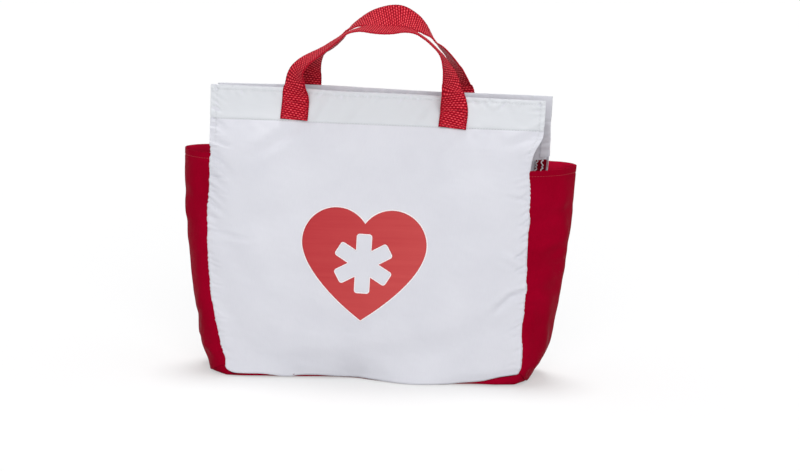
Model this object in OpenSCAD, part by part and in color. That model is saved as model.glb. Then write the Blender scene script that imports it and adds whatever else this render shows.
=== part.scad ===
// Toy doctor bag: a soft fabric tote with two white panels, red gussets, a red bottom and
// two red webbing handles. Millimetres, +Z up, origin at the bottom centre, front at -Y.

/* [Body] */
// Height of the bag without its handles
body_height = 265; // [250:1:290]
// Width of the front and back panels at the mouth
mouth_width = 309; // [300:1:330]
// How far the mouth leans to the right
mouth_shift = 6; // [0:1:8]
// Width of the front and back panels where they meet the gussets
waist_width = 298; // [288:1:312]
// Length of the bottom panel
base_length = 274; // [256:1:280]
// How far the bottom panel sits to the right of the waist
base_shift = 6; // [0:1:12]
// Depth of the bag at its bottom, outside
base_depth = 80; // [70:1:96]
// Depth of the bag at the fold line, outside
fold_depth = 52; // [44:1:60]
// Depth of the bag at its mouth, outside
mouth_depth = 22; // [18:1:30]
// How far the middle of each large panel bulges
panel_belly = 8; // [3:0.5:12]
// Height over which the sides curve out from the bottom to the full width
side_curve = 110; // [90:1:130]
// How far the bottom corners lift off the floor
corner_rise = 8; // [5:0.5:12]
// Length of each curved end of the bottom panel
corner_run = 34; // [24:1:44]

/* [Gussets] */
// Height of the gussets' hemmed rims
gusset_height = 204; // [190:1:212]
// How far the left gusset bulges past its seams
left_bulge = 26; // [16:1:36]
// How far the right gusset bulges past its seams
right_bulge = 38; // [20:1:40]
// Depth of the hem folded inside each gusset rim
gusset_hem_depth = 10; // [6:1:16]

/* [Cloth and seams] */
// Thickness of the cloth with its lining
cloth = 1.2; // [0.8:0.1:1.6]
// Width of the overlocked seam allowance inside the bag
seam_width = 10; // [6:1:12]
// Clearance between sewn pieces that lie side by side
seam_gap = 0.1; // [0.05:0.05:0.15]
// Depth of the hem folded inside the mouth
mouth_hem_depth = 28; // [20:1:34]
// Width of the hem along each free side edge
edge_hem_width = 9; // [6:1:12]
// Height of the fold line above the gusset rims
fold_rise = 10; // [6:1:16]
// Open gap at the fold line, where the mouth panels turn
fold_gap = 0.8; // [0.7:0.05:0.95]

/* [Handles] */
// Width of the webbing
webbing_width = 25; // [20:1:30]
// Thickness of the webbing
webbing = 1.6; // [1.2:0.1:2]
// Length of webbing sewn on the mouth panel at each end
sewn_length = 29; // [24:1:34]
// Distance between the legs of the front handle
front_spacing = 146; // [120:1:170]
// Distance between the legs of the back handle
back_spacing = 140; // [120:1:160]
// How far the front handle sits to the right of the waist
front_shift = 3; // [0:1:8]
// How far the back handle sits to the right of the waist
back_shift = 7; // [5:1:12]
// Height of the front handle above the mouth
front_loop_height = 57; // [45:1:65]
// Height of the back handle above the mouth
back_loop_height = 67; // [58:1:80]
// How far each handle's top leans to the right
loop_lean = 5; // [0:1:10]
// Turn of the front webbing from its legs to its top, degrees
front_twist = 82; // [75:1:88]
// Turn of the back webbing from its legs to its top, degrees
back_twist = 42; // [35:1:50]
// Clearance between the two handles where their tops lie side by side
handle_clearance = 1.6; // [1.2:0.1:3]
// Gap between the free webbing and its sewn ends, where it turns
handle_gap = 0.9; // [0.8:0.05:0.95]
// Margin from the edges of the webbing to its stitching
stitch_margin = 2.5; // [2:0.5:4]
// Height of the sewn box and cross on each handle end
box_height = 19; // [15:1:22]
// Width of a row of handle stitching
stitch_width = 1; // [0.6:0.1:1.4]
// Height of the handle stitching over the webbing
stitch_height = 0.3; // [0.2:0.05:0.5]

/* [Print] */
// Width of the printed heart
heart_width = 114; // [96:1:120]
// Height of the printed heart
heart_height = 103; // [92:1:112]
// Radius of the heart's two lobes
heart_lobe = 31.5; // [30:0.5:34]
// Angle between the heart's flank and the vertical, at its lower tip
heart_tip_angle = 54; // [50:1:56]
// Height of the heart's lower tip above the floor
heart_tip_z = 57; // [44:1:64]
// How far the heart sits to the left of the waist
heart_shift = 3; // [0:1:6]
// Height of the star's centre above the heart's lower tip
star_height = 53; // [46:1:58]
// Length of one arm of the star, from its centre
star_arm = 27.5; // [18:0.5:28]
// Width of one arm of the star
star_arm_width = 13.5; // [9:0.5:14]
// Thickness of the printed ink
ink = 0.25; // [0.15:0.05:0.4]

/* [Hidden] */

white = [0.93, 0.93, 0.95];
red = [0.76, 0.05, 0.14];
print_red = [0.82, 0.20, 0.24];

rows = 12;            // cloth rows from the bottom seam to the gusset hem
row_spread = 1.5;     // more than 1 packs the rows towards the rounded bottom
columns = 14;         // cloth columns between the two seam allowances
gusset_columns = 14;  // cloth columns round a gusset
side_squareness = 4;  // how flat a panel stays before it turns back to its seams
left_slump = 0.08;    // how late the left gusset bulges above the bottom seam, 0 to 1
right_slump = 0.19;   // the same for the right gusset

base_half = base_length/2;
waist_half = waist_width/2;
base_flat = base_half - corner_run;
fold_z = gusset_height + fold_rise;
hem_z = gusset_height - gusset_hem_depth;
last_row = rows + 2;

// The mouth panels stand on the fold line and lean towards each other.
pivot_y = fold_depth/2 - cloth/2;
pivot_z = fold_z + fold_gap/2;
lean = atan2((fold_depth - mouth_depth)/2, body_height - pivot_z);
flap_length = (body_height - pivot_z - cloth/2*sin(lean))/cos(lean);

function mix(a, b, t) = a + (b - a)*t;
function flat_list(lists) = [for (l = lists) each l];

// Height of the bottom panel's underside, at a distance x from the middle of the bottom.
function base_z(x) =
    abs(x) <= base_flat ? 0 : corner_rise*pow((abs(x) - base_flat)/corner_run, 2);

// Height of cloth row k at column u, from -1 at the left seam to 1 at the right one.
function row_z(u, k) =
    k > rows + 1 ? fold_z
    : k > rows ? gusset_height
    : mix(base_z(u*base_half), hem_z, pow(k/rows, row_spread));

// Where a large panel's side seams run at height z: side is -1 for the left, 1 for the right.
function seam_x(side, z) =
    mix(side*waist_half, base_shift + side*base_half, pow(max(0, 1 - (z - corner_rise)/side_curve), 2));
function panel_x(u, z) = mix(seam_x(-1, z), seam_x(1, z), (u + 1)/2);

// How far up the panel, from 0 at the bottom seam to 1 at the fold line.
function rise(u, k) = let(low = base_z(u*base_half)) (row_z(u, k) - low)/(fold_z - low);

function seam_depth(q) = mix(base_depth, fold_depth, q)/2;
function belly(u, q) = panel_belly*sin(180*q)*(1 - pow(abs(u), side_squareness));

// A point of the front panel's cloth, "in" millimetres behind its outer face.
function panel_point(u, k, in) =
    let(q = rise(u, k))
    [panel_x(u, row_z(1, k)), in - seam_depth(q) - belly(u, q), row_z(u, k)];

// The same surface for a point given by x and z, over the flat stretch of the bottom.
function panel_y(x, z) =
    let(q = z/fold_z, row = mix(corner_rise, hem_z, z/hem_z),
        u = 2*(x - seam_x(-1, row))/(seam_x(1, row) - seam_x(-1, row)) - 1)
    -seam_depth(q) - belly(u, q);

// Columns of the large panels: the seam allowances are columns of their own.
allowance = seam_width/waist_half;
panel_columns = concat([-1], [for (i = [0:columns]) mix(allowance - 1, 1 - allowance, i/columns)], [1]);

// The two triangles of a four-sided face.
function quad(a, b, c, d) = [[a, b, c], [a, c, d]];

// A closed shell between two grids of points of the same size, listed row by row.
module shell(outer, inner) {
    high = len(outer) - 1;
    wide = len(outer[0]) - 1;
    size = (high + 1)*(wide + 1);
    function at(layer, r, c) = layer*size + r*(wide + 1) + c;
    polyhedron(
        points = concat(flat_list(outer), flat_list(inner)),
        faces = flat_list(concat(
            [for (r = [0:high - 1], c = [0:wide - 1])
                quad(at(0, r, c), at(0, r + 1, c), at(0, r + 1, c + 1), at(0, r, c + 1))],
            [for (r = [0:high - 1], c = [0:wide - 1])
                quad(at(1, r, c), at(1, r, c + 1), at(1, r + 1, c + 1), at(1, r + 1, c))],
            [for (r = [0:high - 1])
                quad(at(0, r, 0), at(1, r, 0), at(1, r + 1, 0), at(0, r + 1, 0))],
            [for (r = [0:high - 1])
                quad(at(0, r, wide), at(0, r + 1, wide), at(1, r + 1, wide), at(1, r, wide))],
            [for (c = [0:wide - 1])
                quad(at(0, 0, c), at(0, 0, c + 1), at(1, 0, c + 1), at(1, 0, c))],
            [for (c = [0:wide - 1])
                quad(at(0, high, c), at(1, high, c), at(1, high, c + 1), at(0, high, c + 1))])));
}

// Part of the front panel's surface: rows from..to, the given columns, between two depths.
module panel_sheet(from, to, cols, near, far) {
    shell([for (k = [from:to]) [for (u = cols) panel_point(u, k, near)]],
        [for (k = [from:to]) [for (u = cols) panel_point(u, k, far)]]);
}

module large_panel() {
    color(white) panel_sheet(0, last_row, panel_columns, 0, cloth);
}

// The overlocked allowance of the seam between a large panel and a gusset.
module side_seam(side) {
    ends = side < 0 ? [-1, allowance - 1] : [1 - allowance, 1];
    color(red) panel_sheet(1, rows + 1, ends, cloth, 2*cloth);
}

// A point of a gusset, "in" millimetres inside its outer face. The turn runs from -90 at the
// front seam to 90 at the back one.
function gusset_point(side, bulge, turn, k, in) =
    let(up = (row_z(1, k) - corner_rise)/(gusset_height - corner_rise),
        z = row_z(1, k) + in*pow(1 - up, 4),
        q = (z - corner_rise)/(fold_z - corner_rise),
        out = bulge*pow(up, side < 0 ? left_slump : right_slump) - in)
    [seam_x(side, z) + side*out*cos(turn), (seam_depth(q) - in)*sin(turn), z];

module gusset_sheet(side, bulge, from, to, near, far) {
    turns = [for (i = [0:gusset_columns]) side*mix(-90, 90, i/gusset_columns)];
    color(red)
        shell([for (k = [from:to]) [for (a = turns) gusset_point(side, bulge, a, k, near)]],
            [for (k = [from:to]) [for (a = turns) gusset_point(side, bulge, a, k, far)]]);
}

module gusset(side, bulge) {
    gusset_sheet(side, bulge, 0, rows + 1, 0, cloth);
}

module gusset_hem(side, bulge) {
    gusset_sheet(side, bulge, rows, rows + 1, cloth, 2*cloth);
}

// Flat in the middle, with ends that curve up to the gussets.
module bottom_panel() {
    end_x = base_half - cloth - seam_gap;
    inner_half = base_depth/2 - cloth - seam_gap;
    steps = 6;
    side = [for (i = [0:steps]) let(x = mix(base_flat, end_x, i/steps)) [x, base_z(x)]];
    under = concat([for (i = [steps:-1:0]) [-side[i][0], side[i][1]]], side);
    over = [for (i = [len(under) - 1:-1:0]) under[i] + [0, cloth]];
    color(red)
        translate([base_shift, inner_half, 0])
            rotate([90, 0, 0])
                linear_extrude(2*inner_half)
                    polygon(concat(under, over));
}

// The allowance of the seam between a large panel and the bottom, folded onto the bottom.
module base_seam() {
    color(red)
        translate([base_shift - base_flat, seam_gap + cloth - base_depth/2, cloth])
            cube([2*base_flat, seam_width, cloth]);
}

// Outline of the heart, measured from its lower tip. Half of it is an arc round a lobe, from
// the notch at t = 0, and a bowed flank that meets the other one at the tip at t = 1.
lobe_x = heart_width/2 - heart_lobe;
lobe_z = heart_height - heart_lobe;
notch_turn = 180 - acos(lobe_x/heart_lobe);
lobe_share = 0.6;   // share of the outline's steps that lie on the lobe
lobe_end = 15;      // how far below the horizontal the lobe runs on before its flank, degrees
function lobe_point(turn) = [lobe_x + heart_lobe*cos(turn), lobe_z + heart_lobe*sin(turn)];
flank_top = lobe_point(-lobe_end);
flank_run = (flank_top[1] - flank_top[0]/tan(heart_tip_angle))
    /(cos(lobe_end) - sin(lobe_end)/tan(heart_tip_angle));
flank_bow = flank_top - flank_run*[sin(lobe_end), cos(lobe_end)];
function flank_point(t) = flank_top*pow(1 - t, 2) + 2*flank_bow*t*(1 - t);
function half_heart(t) =
    t < lobe_share ? lobe_point(mix(notch_turn, -lobe_end, t/lobe_share))
    : flank_point((t - lobe_share)/(1 - lobe_share));

// The whole outline: t runs from the notch down the right side to the tip, and back.
function heart_edge(t) =
    let(p = half_heart(t <= 1 ? t : 2 - t))
    [(t <= 1 ? p[0] : -p[0]) - heart_shift, heart_tip_z + p[1]];

// Edge of the six-armed star in the direction of angle a, from its own centre.
star_z = heart_tip_z + star_height;
function star_reach(a) =
    let(off = abs(((a + 30) % 60 + 60) % 60 - 30))
    min(star_arm/cos(off), star_arm_width/2/max(sin(off), 0.01));

// A point of the print between the star's edge (t = 0) and the heart's edge (t = 1).
function print_point(along, t, out) =
    let(h = heart_edge(along), aim = atan2(h[0] + heart_shift, h[1] - star_z), s = star_reach(aim),
        x = mix(s*sin(aim) - heart_shift, h[0], t), z = mix(star_z + s*cos(aim), h[1], t))
    [x, panel_y(x, z) - out, z];

module heart_print() {
    steps = 144;
    rings = 4;
    lift = 0.08;
    size = (rings + 1)*steps;
    function at(layer, r, i) = layer*size + r*steps + i % steps;
    color(print_red)
        polyhedron(
            points = [for (out = [lift, lift + ink], r = [0:rings], i = [0:steps - 1])
                print_point(2*i/steps, r/rings, out)],
            faces = flat_list(concat(
                [for (r = [0:rings - 1], i = [0:steps - 1])
                    quad(at(1, r, i), at(1, r + 1, i), at(1, r + 1, i + 1), at(1, r, i + 1))],
                [for (r = [0:rings - 1], i = [0:steps - 1])
                    quad(at(0, r, i), at(0, r, i + 1), at(0, r + 1, i + 1), at(0, r + 1, i))],
                [for (i = [0:steps - 1])
                    quad(at(0, 0, i), at(1, 0, i), at(1, 0, i + 1), at(0, 0, i + 1))],
                [for (i = [0:steps - 1])
                    quad(at(0, rings, i), at(0, rings, i + 1), at(1, rings, i + 1), at(1, rings, i))])));
}

// Moves its children to the front fold line, leaning as the mouth panel leans. There, y = 0
// is the middle of the cloth and z runs up the panel.
module on_flap() {
    translate([0, -pivot_y, pivot_z]) rotate([-lean, 0, 0]) children();
}

// Where a side edge of the mouth panel is, at a distance up from the fold line.
function flap_x(side, up) =
    mix(side*waist_half, mouth_shift + side*mouth_width/2, up/flap_length);

// A flat layer on the mouth panel, from its outline of [x, z] points and its two depths.
module flap_layer(outline, near, far) {
    on_flap() translate([0, far, 0]) rotate([90, 0, 0]) linear_extrude(far - near) polygon(outline);
}

// A layer over the full width of the mouth panel, between two distances up from the fold.
module flap_strip(low, high, near, far) {
    color(white)
        flap_layer([[flap_x(-1, low), low], [flap_x(1, low), low],
            [flap_x(1, high), high], [flap_x(-1, high), high]], near, far);
}

module mouth_panel() {
    flap_strip(fold_gap/2, flap_length, -cloth/2, cloth/2);
}

module mouth_hem() {
    flap_strip(flap_length - mouth_hem_depth, flap_length, cloth/2, 3*cloth/2);
}

// The hem along a free side edge, from the fold line to the mouth hem.
module edge_hem(side) {
    low = fold_gap/2;
    high = flap_length - mouth_hem_depth;
    in = [-side*edge_hem_width, 0];
    edge = [[flap_x(side, low), low], [flap_x(side, high), high]];
    color(white) flap_layer([edge[0] + in, edge[0], edge[1], edge[1] + in], cloth/2, 3*cloth/2);
}

// The flat ends of the webbing, sewn to the outer face of the mouth panel.
module handle_ends(spacing, shift) {
    low = flap_length - sewn_length;
    color(red)
        for (side = [-1, 1]) {
            left = shift + side*spacing/2 - webbing_width/2;
            right = left + webbing_width;
            flap_layer([[left, low], [right, low], [right, flap_length], [left, flap_length]],
                -cloth/2 - webbing, -cloth/2);
        }
}

// The outline of a sewn box with a cross in it.
module stitched_box(width, height) {
    difference() {
        square([width, height], center = true);
        square([width - 2*stitch_width, height - 2*stitch_width], center = true);
    }
    intersection() {
        square([width, height], center = true);
        for (way = [-1, 1])
            rotate(way*atan2(height, width))
                square([2*width, stitch_width], center = true);
    }
}

// A sewn box on each handle end.
module handle_stitching(spacing, shift) {
    box_width = webbing_width - 2*stitch_margin;
    box_middle = flap_length - sewn_length + stitch_margin + box_height/2;
    color(red)
        for (side = [-1, 1])
            on_flap()
                translate([shift + side*spacing/2, -cloth/2 - webbing, box_middle])
                    rotate([90, 0, 0])
                        linear_extrude(stitch_height) stitched_box(box_width, box_height);
}

function unit(v) = v/norm(v);

// A point at t along a cubic curve with four control points, and the curve's heading there.
function curve_point(p, t) =
    p[0]*pow(1 - t, 3) + 3*p[1]*t*pow(1 - t, 2) + 3*p[2]*t*t*(1 - t) + p[3]*pow(t, 3);
function curve_heading(p, t) =
    unit((p[1] - p[0])*pow(1 - t, 2) + 2*(p[2] - p[1])*t*(1 - t) + (p[3] - p[2])*t*t);

// The four runs say how far the webbing goes straight on: up from the left leg, out from the
// top to the left, out from the top to the right, and up from the right leg.
front_runs = [27, 26, 34, 34];
back_runs = [27, 22, 18, 27];

// Depth of each handle's top: their nearest edges lie on either side of the meeting line.
meeting_y = 1.8;
front_top_y = meeting_y - handle_clearance/2 - webbing_width/2*sin(front_twist);
back_top_y = meeting_y + handle_clearance/2 + webbing_width/2*sin(back_twist);

// The middle of the webbing as two curves, from its left leg to the top and on to its right
// leg. "side" is -1 for the front handle and 1 for the back one.
function loop_route(side, spacing, shift, height, top_y, runs) =
    let(
        up = [0, -side*sin(lean), cos(lean)],
        out = [0, side*cos(lean), sin(lean)],
        fold = [shift, side*pivot_y, pivot_z],
        foot = fold + up*(flap_length + handle_gap) + out*(cloth + webbing)/2,
        left = foot - [spacing/2, 0, 0],
        right = foot + [spacing/2, 0, 0],
        top = [shift + loop_lean, top_y, body_height + height])
    [[left, left + up*runs[0], top - [runs[1], 0, 0], top],
        [top, top + [runs[2], 0, 0], right + up*runs[3], right]];

// Four corners of the webbing at a point of its route. The inner edge turns to the front.
function webbing_ring(at, way, turn) =
    let(
        inner = unit(cross([0, 1, 0], way)),
        wide = (inner*cos(turn) - cross(way, inner)*sin(turn))*webbing_width/2,
        thick = unit(cross(wide, way))*webbing/2)
    [at - wide - thick, at + wide - thick, at + wide + thick, at - wide + thick];

// Share of its turn that the webbing has made, from its leg at t = 0 to the top at t = 1.
function turn_share(t) = 1 - pow(1 - pow(t, 1.5), 4);

module handle(side, spacing, shift, height, top_y, twist, runs) {
    steps = 20;
    route = loop_route(side, spacing, shift, height, top_y, runs);
    places = concat(
        [for (i = [0:steps]) [route[0], i/steps, turn_share(i/steps)]],
        [for (i = [1:steps]) [route[1], i/steps, turn_share(1 - i/steps)]]);
    rings = [for (p = places)
        webbing_ring(curve_point(p[0], p[1]), curve_heading(p[0], p[1]), twist*p[2])];
    last = 4*(len(rings) - 1);
    color(red)
        polyhedron(
            points = flat_list(rings),
            faces = flat_list(concat(
                [quad(0, 3, 2, 1), quad(last, last + 1, last + 2, last + 3)],
                [for (ring = [0:4:last - 4], j = [0:3])
                    let(k = (j + 1) % 4)
                    quad(ring + j, ring + k, ring + 4 + k, ring + 4 + j)])));
}

module back() mirror([0, 1, 0]) children();

large_panel();  // front_panel
back() large_panel();  // back_panel
bottom_panel();
gusset(-1, left_bulge);  // left_gusset
gusset(1, right_bulge);  // right_gusset
gusset_hem(-1, left_bulge);  // left_gusset_hem
gusset_hem(1, right_bulge);  // right_gusset_hem
side_seam(-1);  // front_left_seam
side_seam(1);  // front_right_seam
back() side_seam(-1);  // back_left_seam
back() side_seam(1);  // back_right_seam
base_seam();  // front_base_seam
back() base_seam();  // back_base_seam
heart_print();
mouth_panel();  // front_mouth_panel
mouth_hem();  // front_mouth_hem
edge_hem(-1);  // front_left_edge_hem
edge_hem(1);  // front_right_edge_hem
handle_ends(front_spacing, front_shift);  // front_handle_ends
handle_stitching(front_spacing, front_shift);  // front_handle_stitching
back() mouth_panel();  // back_mouth_panel
back() mouth_hem();  // back_mouth_hem
back() edge_hem(-1);  // back_left_edge_hem
back() edge_hem(1);  // back_right_edge_hem
back() handle_ends(back_spacing, back_shift);  // back_handle_ends
back() handle_stitching(back_spacing, back_shift);  // back_handle_stitching
handle(-1, front_spacing, front_shift, front_loop_height, front_top_y, front_twist,  // front_handle
        front_runs);
handle(1, back_spacing, back_shift, back_loop_height, back_top_y, back_twist,  // back_handle
        back_runs);
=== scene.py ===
"""A soft toy doctor's bag: white walls, red gussets, webbing handles and a printed heart."""
import logging
import math
import random
from abc import ABC, abstractmethod
from dataclasses import dataclass, field
from enum import Enum
from typing import Callable, Sequence

import bmesh
import bpy
import numpy as np
from mathutils import Matrix, Vector
from mathutils.bvhtree import BVHTree


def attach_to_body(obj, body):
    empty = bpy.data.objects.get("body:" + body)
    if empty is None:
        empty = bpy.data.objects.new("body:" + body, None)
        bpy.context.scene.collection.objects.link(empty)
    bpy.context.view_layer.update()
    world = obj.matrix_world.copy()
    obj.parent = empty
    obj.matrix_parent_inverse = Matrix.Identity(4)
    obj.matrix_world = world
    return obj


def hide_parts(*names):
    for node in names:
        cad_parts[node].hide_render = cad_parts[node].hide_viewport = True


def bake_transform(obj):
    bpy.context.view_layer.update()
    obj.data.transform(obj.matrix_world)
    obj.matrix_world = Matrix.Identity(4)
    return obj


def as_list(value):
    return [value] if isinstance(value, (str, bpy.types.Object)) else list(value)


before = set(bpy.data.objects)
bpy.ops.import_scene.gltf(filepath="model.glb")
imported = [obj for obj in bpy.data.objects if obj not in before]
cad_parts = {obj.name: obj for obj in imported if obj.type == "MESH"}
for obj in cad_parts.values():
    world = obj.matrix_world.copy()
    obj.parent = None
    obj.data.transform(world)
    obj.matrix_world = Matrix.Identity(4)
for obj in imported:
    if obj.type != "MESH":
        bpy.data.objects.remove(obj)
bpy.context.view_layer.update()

LOG = logging.getLogger("doctor_bag")
MM = 0.001
Colour = tuple[float, float, float]
Grid = tuple[Sequence[float], Sequence[float]]
Place = Callable[[float, float], Vector]


class Facing(Enum):
    """Which way a large wall faces, as the sign of its Y."""

    FRONT = -1
    BACK = 1


class Side(Enum):
    """Which end of the bag a gusset closes, as the sign of its X."""

    LEFT = -1
    RIGHT = 1


def mix(a: float, b: float, t: float) -> float:
    """Returns the value a share t of the way from a to b."""
    return a + (b - a) * t


def bell(x: float) -> float:
    """Returns a smooth bump that is 1 at x = 0 and fades out by x = 2."""
    return math.exp(-x * x)


def clamp(x: float) -> float:
    """Returns x held between 0 and 1."""
    return min(max(x, 0.0), 1.0)


def hump(x: np.ndarray, at: float, width: float) -> np.ndarray:
    """Returns a smooth bump that is 1 where x is at its middle and fades out by two widths."""
    return np.exp(-(((x - at) / width) ** 2))


def shares(count: int, bunch: float = 0.0, extra: Sequence[float] = ()) -> list[float]:
    """Lists shares from 0 to 1.

    Args:
        count: Number of even steps.
        bunch: How much the steps crowd towards both ends, from 0 to 0.9.
        extra: Further shares that the list holds.

    Returns:
        The shares in rising order, none nearer than a thousandth to the next.
    """
    even = [
        i / count - bunch * math.sin(2 * math.pi * i / count) / (2 * math.pi)
        for i in range(count + 1)
    ]
    apart = 0.35 / count
    kept = [t for t in even if all(abs(t - x) > apart for x in extra) or t in (even[0], even[-1])]
    return sorted({round(t, 6) for t in [*kept, *extra]})


def mirrored(near: Sequence[float], cells: int) -> list[float]:
    """Lists shares that crowd together near both ends and are even between.

    Args:
        near: The shares near the start, from 0 up.
        cells: Number of even steps from the last of them to its mirror image.

    Returns:
        The shares in rising order.
    """
    far = near[-1]
    even = [mix(far, 1 - far, k / cells) for k in range(1, cells)]
    return [*near, *even, *(1 - t for t in reversed(near))]


def locate(stops: Sequence[float], t: float) -> tuple[int, float]:
    """Finds the step that a share falls in.

    Args:
        stops: Shares in rising order.
        t: The share to find.

    Returns:
        The step's number and how far along it the share lies.
    """
    k = min(max(int(np.searchsorted(stops, t, side="right")) - 1, 0), len(stops) - 2)
    return k, (t - stops[k]) / (stops[k + 1] - stops[k])


def rumple(x: np.ndarray, y: np.ndarray, seed: float) -> np.ndarray:
    """Gives an even, wandering wave, about one unit of x or y from crest to crest.

    Args:
        x: First coordinates.
        y: Second coordinates.
        seed: Shifts the pattern.

    Returns:
        The wave's values, between -1 and 1.
    """
    total = np.zeros(np.broadcast(x, y).shape)
    for k in range(6):
        turn = 1.3 + 2.4 * k + seed
        pitch = 5.2 * (0.62 + 0.16 * k)
        wave = pitch * (x * math.cos(turn) + y * math.sin(turn)) + 1.7 * seed + 2.9 * k
        total = total + np.sin(wave)
    return total / 3.4


def soften(grid: np.ndarray, passes: int) -> np.ndarray:
    """Evens out a grid of vectors between neighbours.

    Args:
        grid: Vectors by row and column.
        passes: How many times each one is mixed with its neighbours.

    Returns:
        The softer grid.
    """
    for _ in range(passes):
        grid = np.pad(grid, ((1, 1), (0, 0), (0, 0)), "edge")
        grid = grid[:-2] * 0.25 + grid[1:-1] * 0.5 + grid[2:] * 0.25
        grid = np.pad(grid, ((0, 0), (1, 1), (0, 0)), "edge")
        grid = grid[:, :-2] * 0.25 + grid[:, 1:-1] * 0.5 + grid[:, 2:] * 0.25
    return grid


def refine(grid: np.ndarray, old: Grid, new: Grid) -> np.ndarray:
    """Spreads a grid of vectors from old columns and rows to new ones.

    Args:
        grid: Vectors by row and column.
        old: The old columns and rows.
        new: The new columns and rows.

    Returns:
        Vectors by new row and column.
    """
    axes, count = range(3), len(new[0])
    wide = np.stack([[np.interp(new[0], old[0], row[:, k]) for row in grid] for k in axes], -1)
    tall = [[np.interp(new[1], old[1], wide[:, i, k]) for i in range(count)] for k in axes]
    return np.array(tall).transpose(2, 1, 0)


@dataclass(frozen=True)
class Curve:
    """A smooth line through knots of position and value."""

    knots: tuple[tuple[float, float], ...]

    def at(self, x: float) -> float:
        """Gives the value at a position.

        Args:
            x: The position.

        Returns:
            The value, held level past both ends.
        """
        k = self.knots
        if x <= k[0][0]:
            return k[0][1]
        if x >= k[-1][0]:
            return k[-1][1]
        i = max(j for j in range(len(k) - 1) if k[j][0] <= x)
        (x0, y0), (x1, y1) = k[i], k[i + 1]
        slope = (y1 - y0) / (x1 - x0)
        start = slope if i == 0 else (y1 - k[i - 1][1]) / (x1 - k[i - 1][0])
        end = slope if i == len(k) - 2 else (k[i + 2][1] - y0) / (k[i + 2][0] - x0)
        h, t = x1 - x0, (x - x0) / (x1 - x0)
        return (
            y0 * (1 + 2 * t) * (1 - t) ** 2
            + h * start * t * (1 - t) ** 2
            + y1 * t * t * (3 - 2 * t)
            + h * end * t * t * (t - 1)
        )


# ---------------------------------------------------------------- finishes


class Graph:
    """Short calls for building the nodes of a material or a world."""

    def __init__(self, tree: bpy.types.NodeTree) -> None:
        """Takes the tree that the nodes go into."""
        self.tree = tree

    def add(self, kind: str, values: dict[str, object] | None = None, **settings: object) -> bpy.types.Node:
        """Adds a node, sets its properties and fills or links its inputs.

        Args:
            kind: The node's type name.
            values: Inputs by name or number; a socket as value makes a link.
            **settings: Properties of the node.

        Returns:
            The new node.
        """
        node = self.tree.nodes.new(kind)
        for key, value in settings.items():
            setattr(node, key, value)
        for key, value in (values or {}).items():
            self.put(node.inputs[key], value)
        return node

    def put(self, socket: bpy.types.NodeSocket, value: object) -> None:
        """Fills or links a socket.

        Args:
            socket: The input.
            value: What it gets; an output socket makes a link.
        """
        if isinstance(value, bpy.types.NodeSocket):
            self.tree.links.new(value, socket)
        else:
            socket.default_value = value

    def calc(self, operation: str, a: object, b: object = 0.0, held: bool = False) -> bpy.types.NodeSocket:
        """Gives the output of a Math node with two inputs.

        Args:
            operation: The node's operation.
            a: The first input.
            b: The second input.
            held: Whether the result is held between 0 and 1.

        Returns:
            The output socket.
        """
        node = self.add("ShaderNodeMath", {0: a, 1: b}, operation=operation, use_clamp=held)
        return node.outputs[0]

    def total(self, *parts: tuple[object, float]) -> bpy.types.NodeSocket:
        """Adds up values.

        Args:
            *parts: Each value with its weight.

        Returns:
            Their sum, held between 0 and 1.
        """
        scaled = [self.calc("MULTIPLY", value, weight) for value, weight in parts]
        result = scaled[0]
        for k, value in enumerate(scaled[1:], 2):
            result = self.calc("ADD", result, value, held=k == len(parts))
        return result

    def weave(self, across: object, up: object, pitch: float) -> bpy.types.NodeSocket:
        """Gives the height of crossing threads.

        Args:
            across: The coordinate across.
            up: The coordinate up.
            pitch: Radians of the pattern for one unit of a coordinate.

        Returns:
            The height, from 0 to 1.
        """
        warp, weft = (self.calc("SINE", self.calc("MULTIPLY", axis, pitch)) for axis in (across, up))
        return self.calc("ABSOLUTE", self.calc("MULTIPLY", warp, weft))

    def ramp(self, share: object, stops: Sequence[tuple[float, Colour]]) -> bpy.types.NodeSocket:
        """Gives the colour of a Color Ramp.

        Args:
            share: Where on the ramp, from 0 to 1.
            stops: Positions and their colours.

        Returns:
            The colour socket.
        """
        node = self.add("ShaderNodeValToRGB", {0: share})
        while len(node.color_ramp.elements) < len(stops):
            node.color_ramp.elements.new(0.5)
        for element, (at, colour) in zip(node.color_ramp.elements, stops):
            element.position, element.color = at, (*colour, 1)
        return node.outputs[0]

    def mottle(self, vector: object, scale: float, detail: float = 3.0) -> bpy.types.NodeSocket:
        """Returns the value of a Noise texture on the given coordinates."""
        return self.add("ShaderNodeTexNoise", {"Vector": vector, "Scale": scale, "Detail": detail}).outputs[0]

    def stretch(self, vector: object, scale: Colour) -> bpy.types.NodeSocket:
        """Returns coordinates scaled along each axis."""
        return self.add("ShaderNodeMapping", {"Vector": vector, "Scale": scale}).outputs[0]

    def between(self, share: object, low: float, high: float) -> bpy.types.NodeSocket:
        """Returns the value a share of the way from low to high."""
        return self.add("ShaderNodeMapRange", {0: share, 3: low, 4: high}).outputs[0]

    def stored(self, name: str) -> bpy.types.NodeSocket:
        """Returns the value that the mesh holds at each point under a name."""
        return self.add("ShaderNodeAttribute", attribute_name=name).outputs["Fac"]

    def bump(
        self, height: object, distance: float, strength: float = 0.5, under: object | None = None
    ) -> bpy.types.NodeSocket:
        """Gives the normal of a surface with small heights.

        Args:
            height: The height, from 0 to 1.
            distance: Metres for a height of 1.
            strength: Share of the effect.
            under: The normal that it starts from.

        Returns:
            The normal socket.
        """
        values = {"Height": height, "Distance": distance, "Strength": strength}
        if under is not None:
            values["Normal"] = under
        return self.add("ShaderNodeBump", values).outputs[0]


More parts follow.
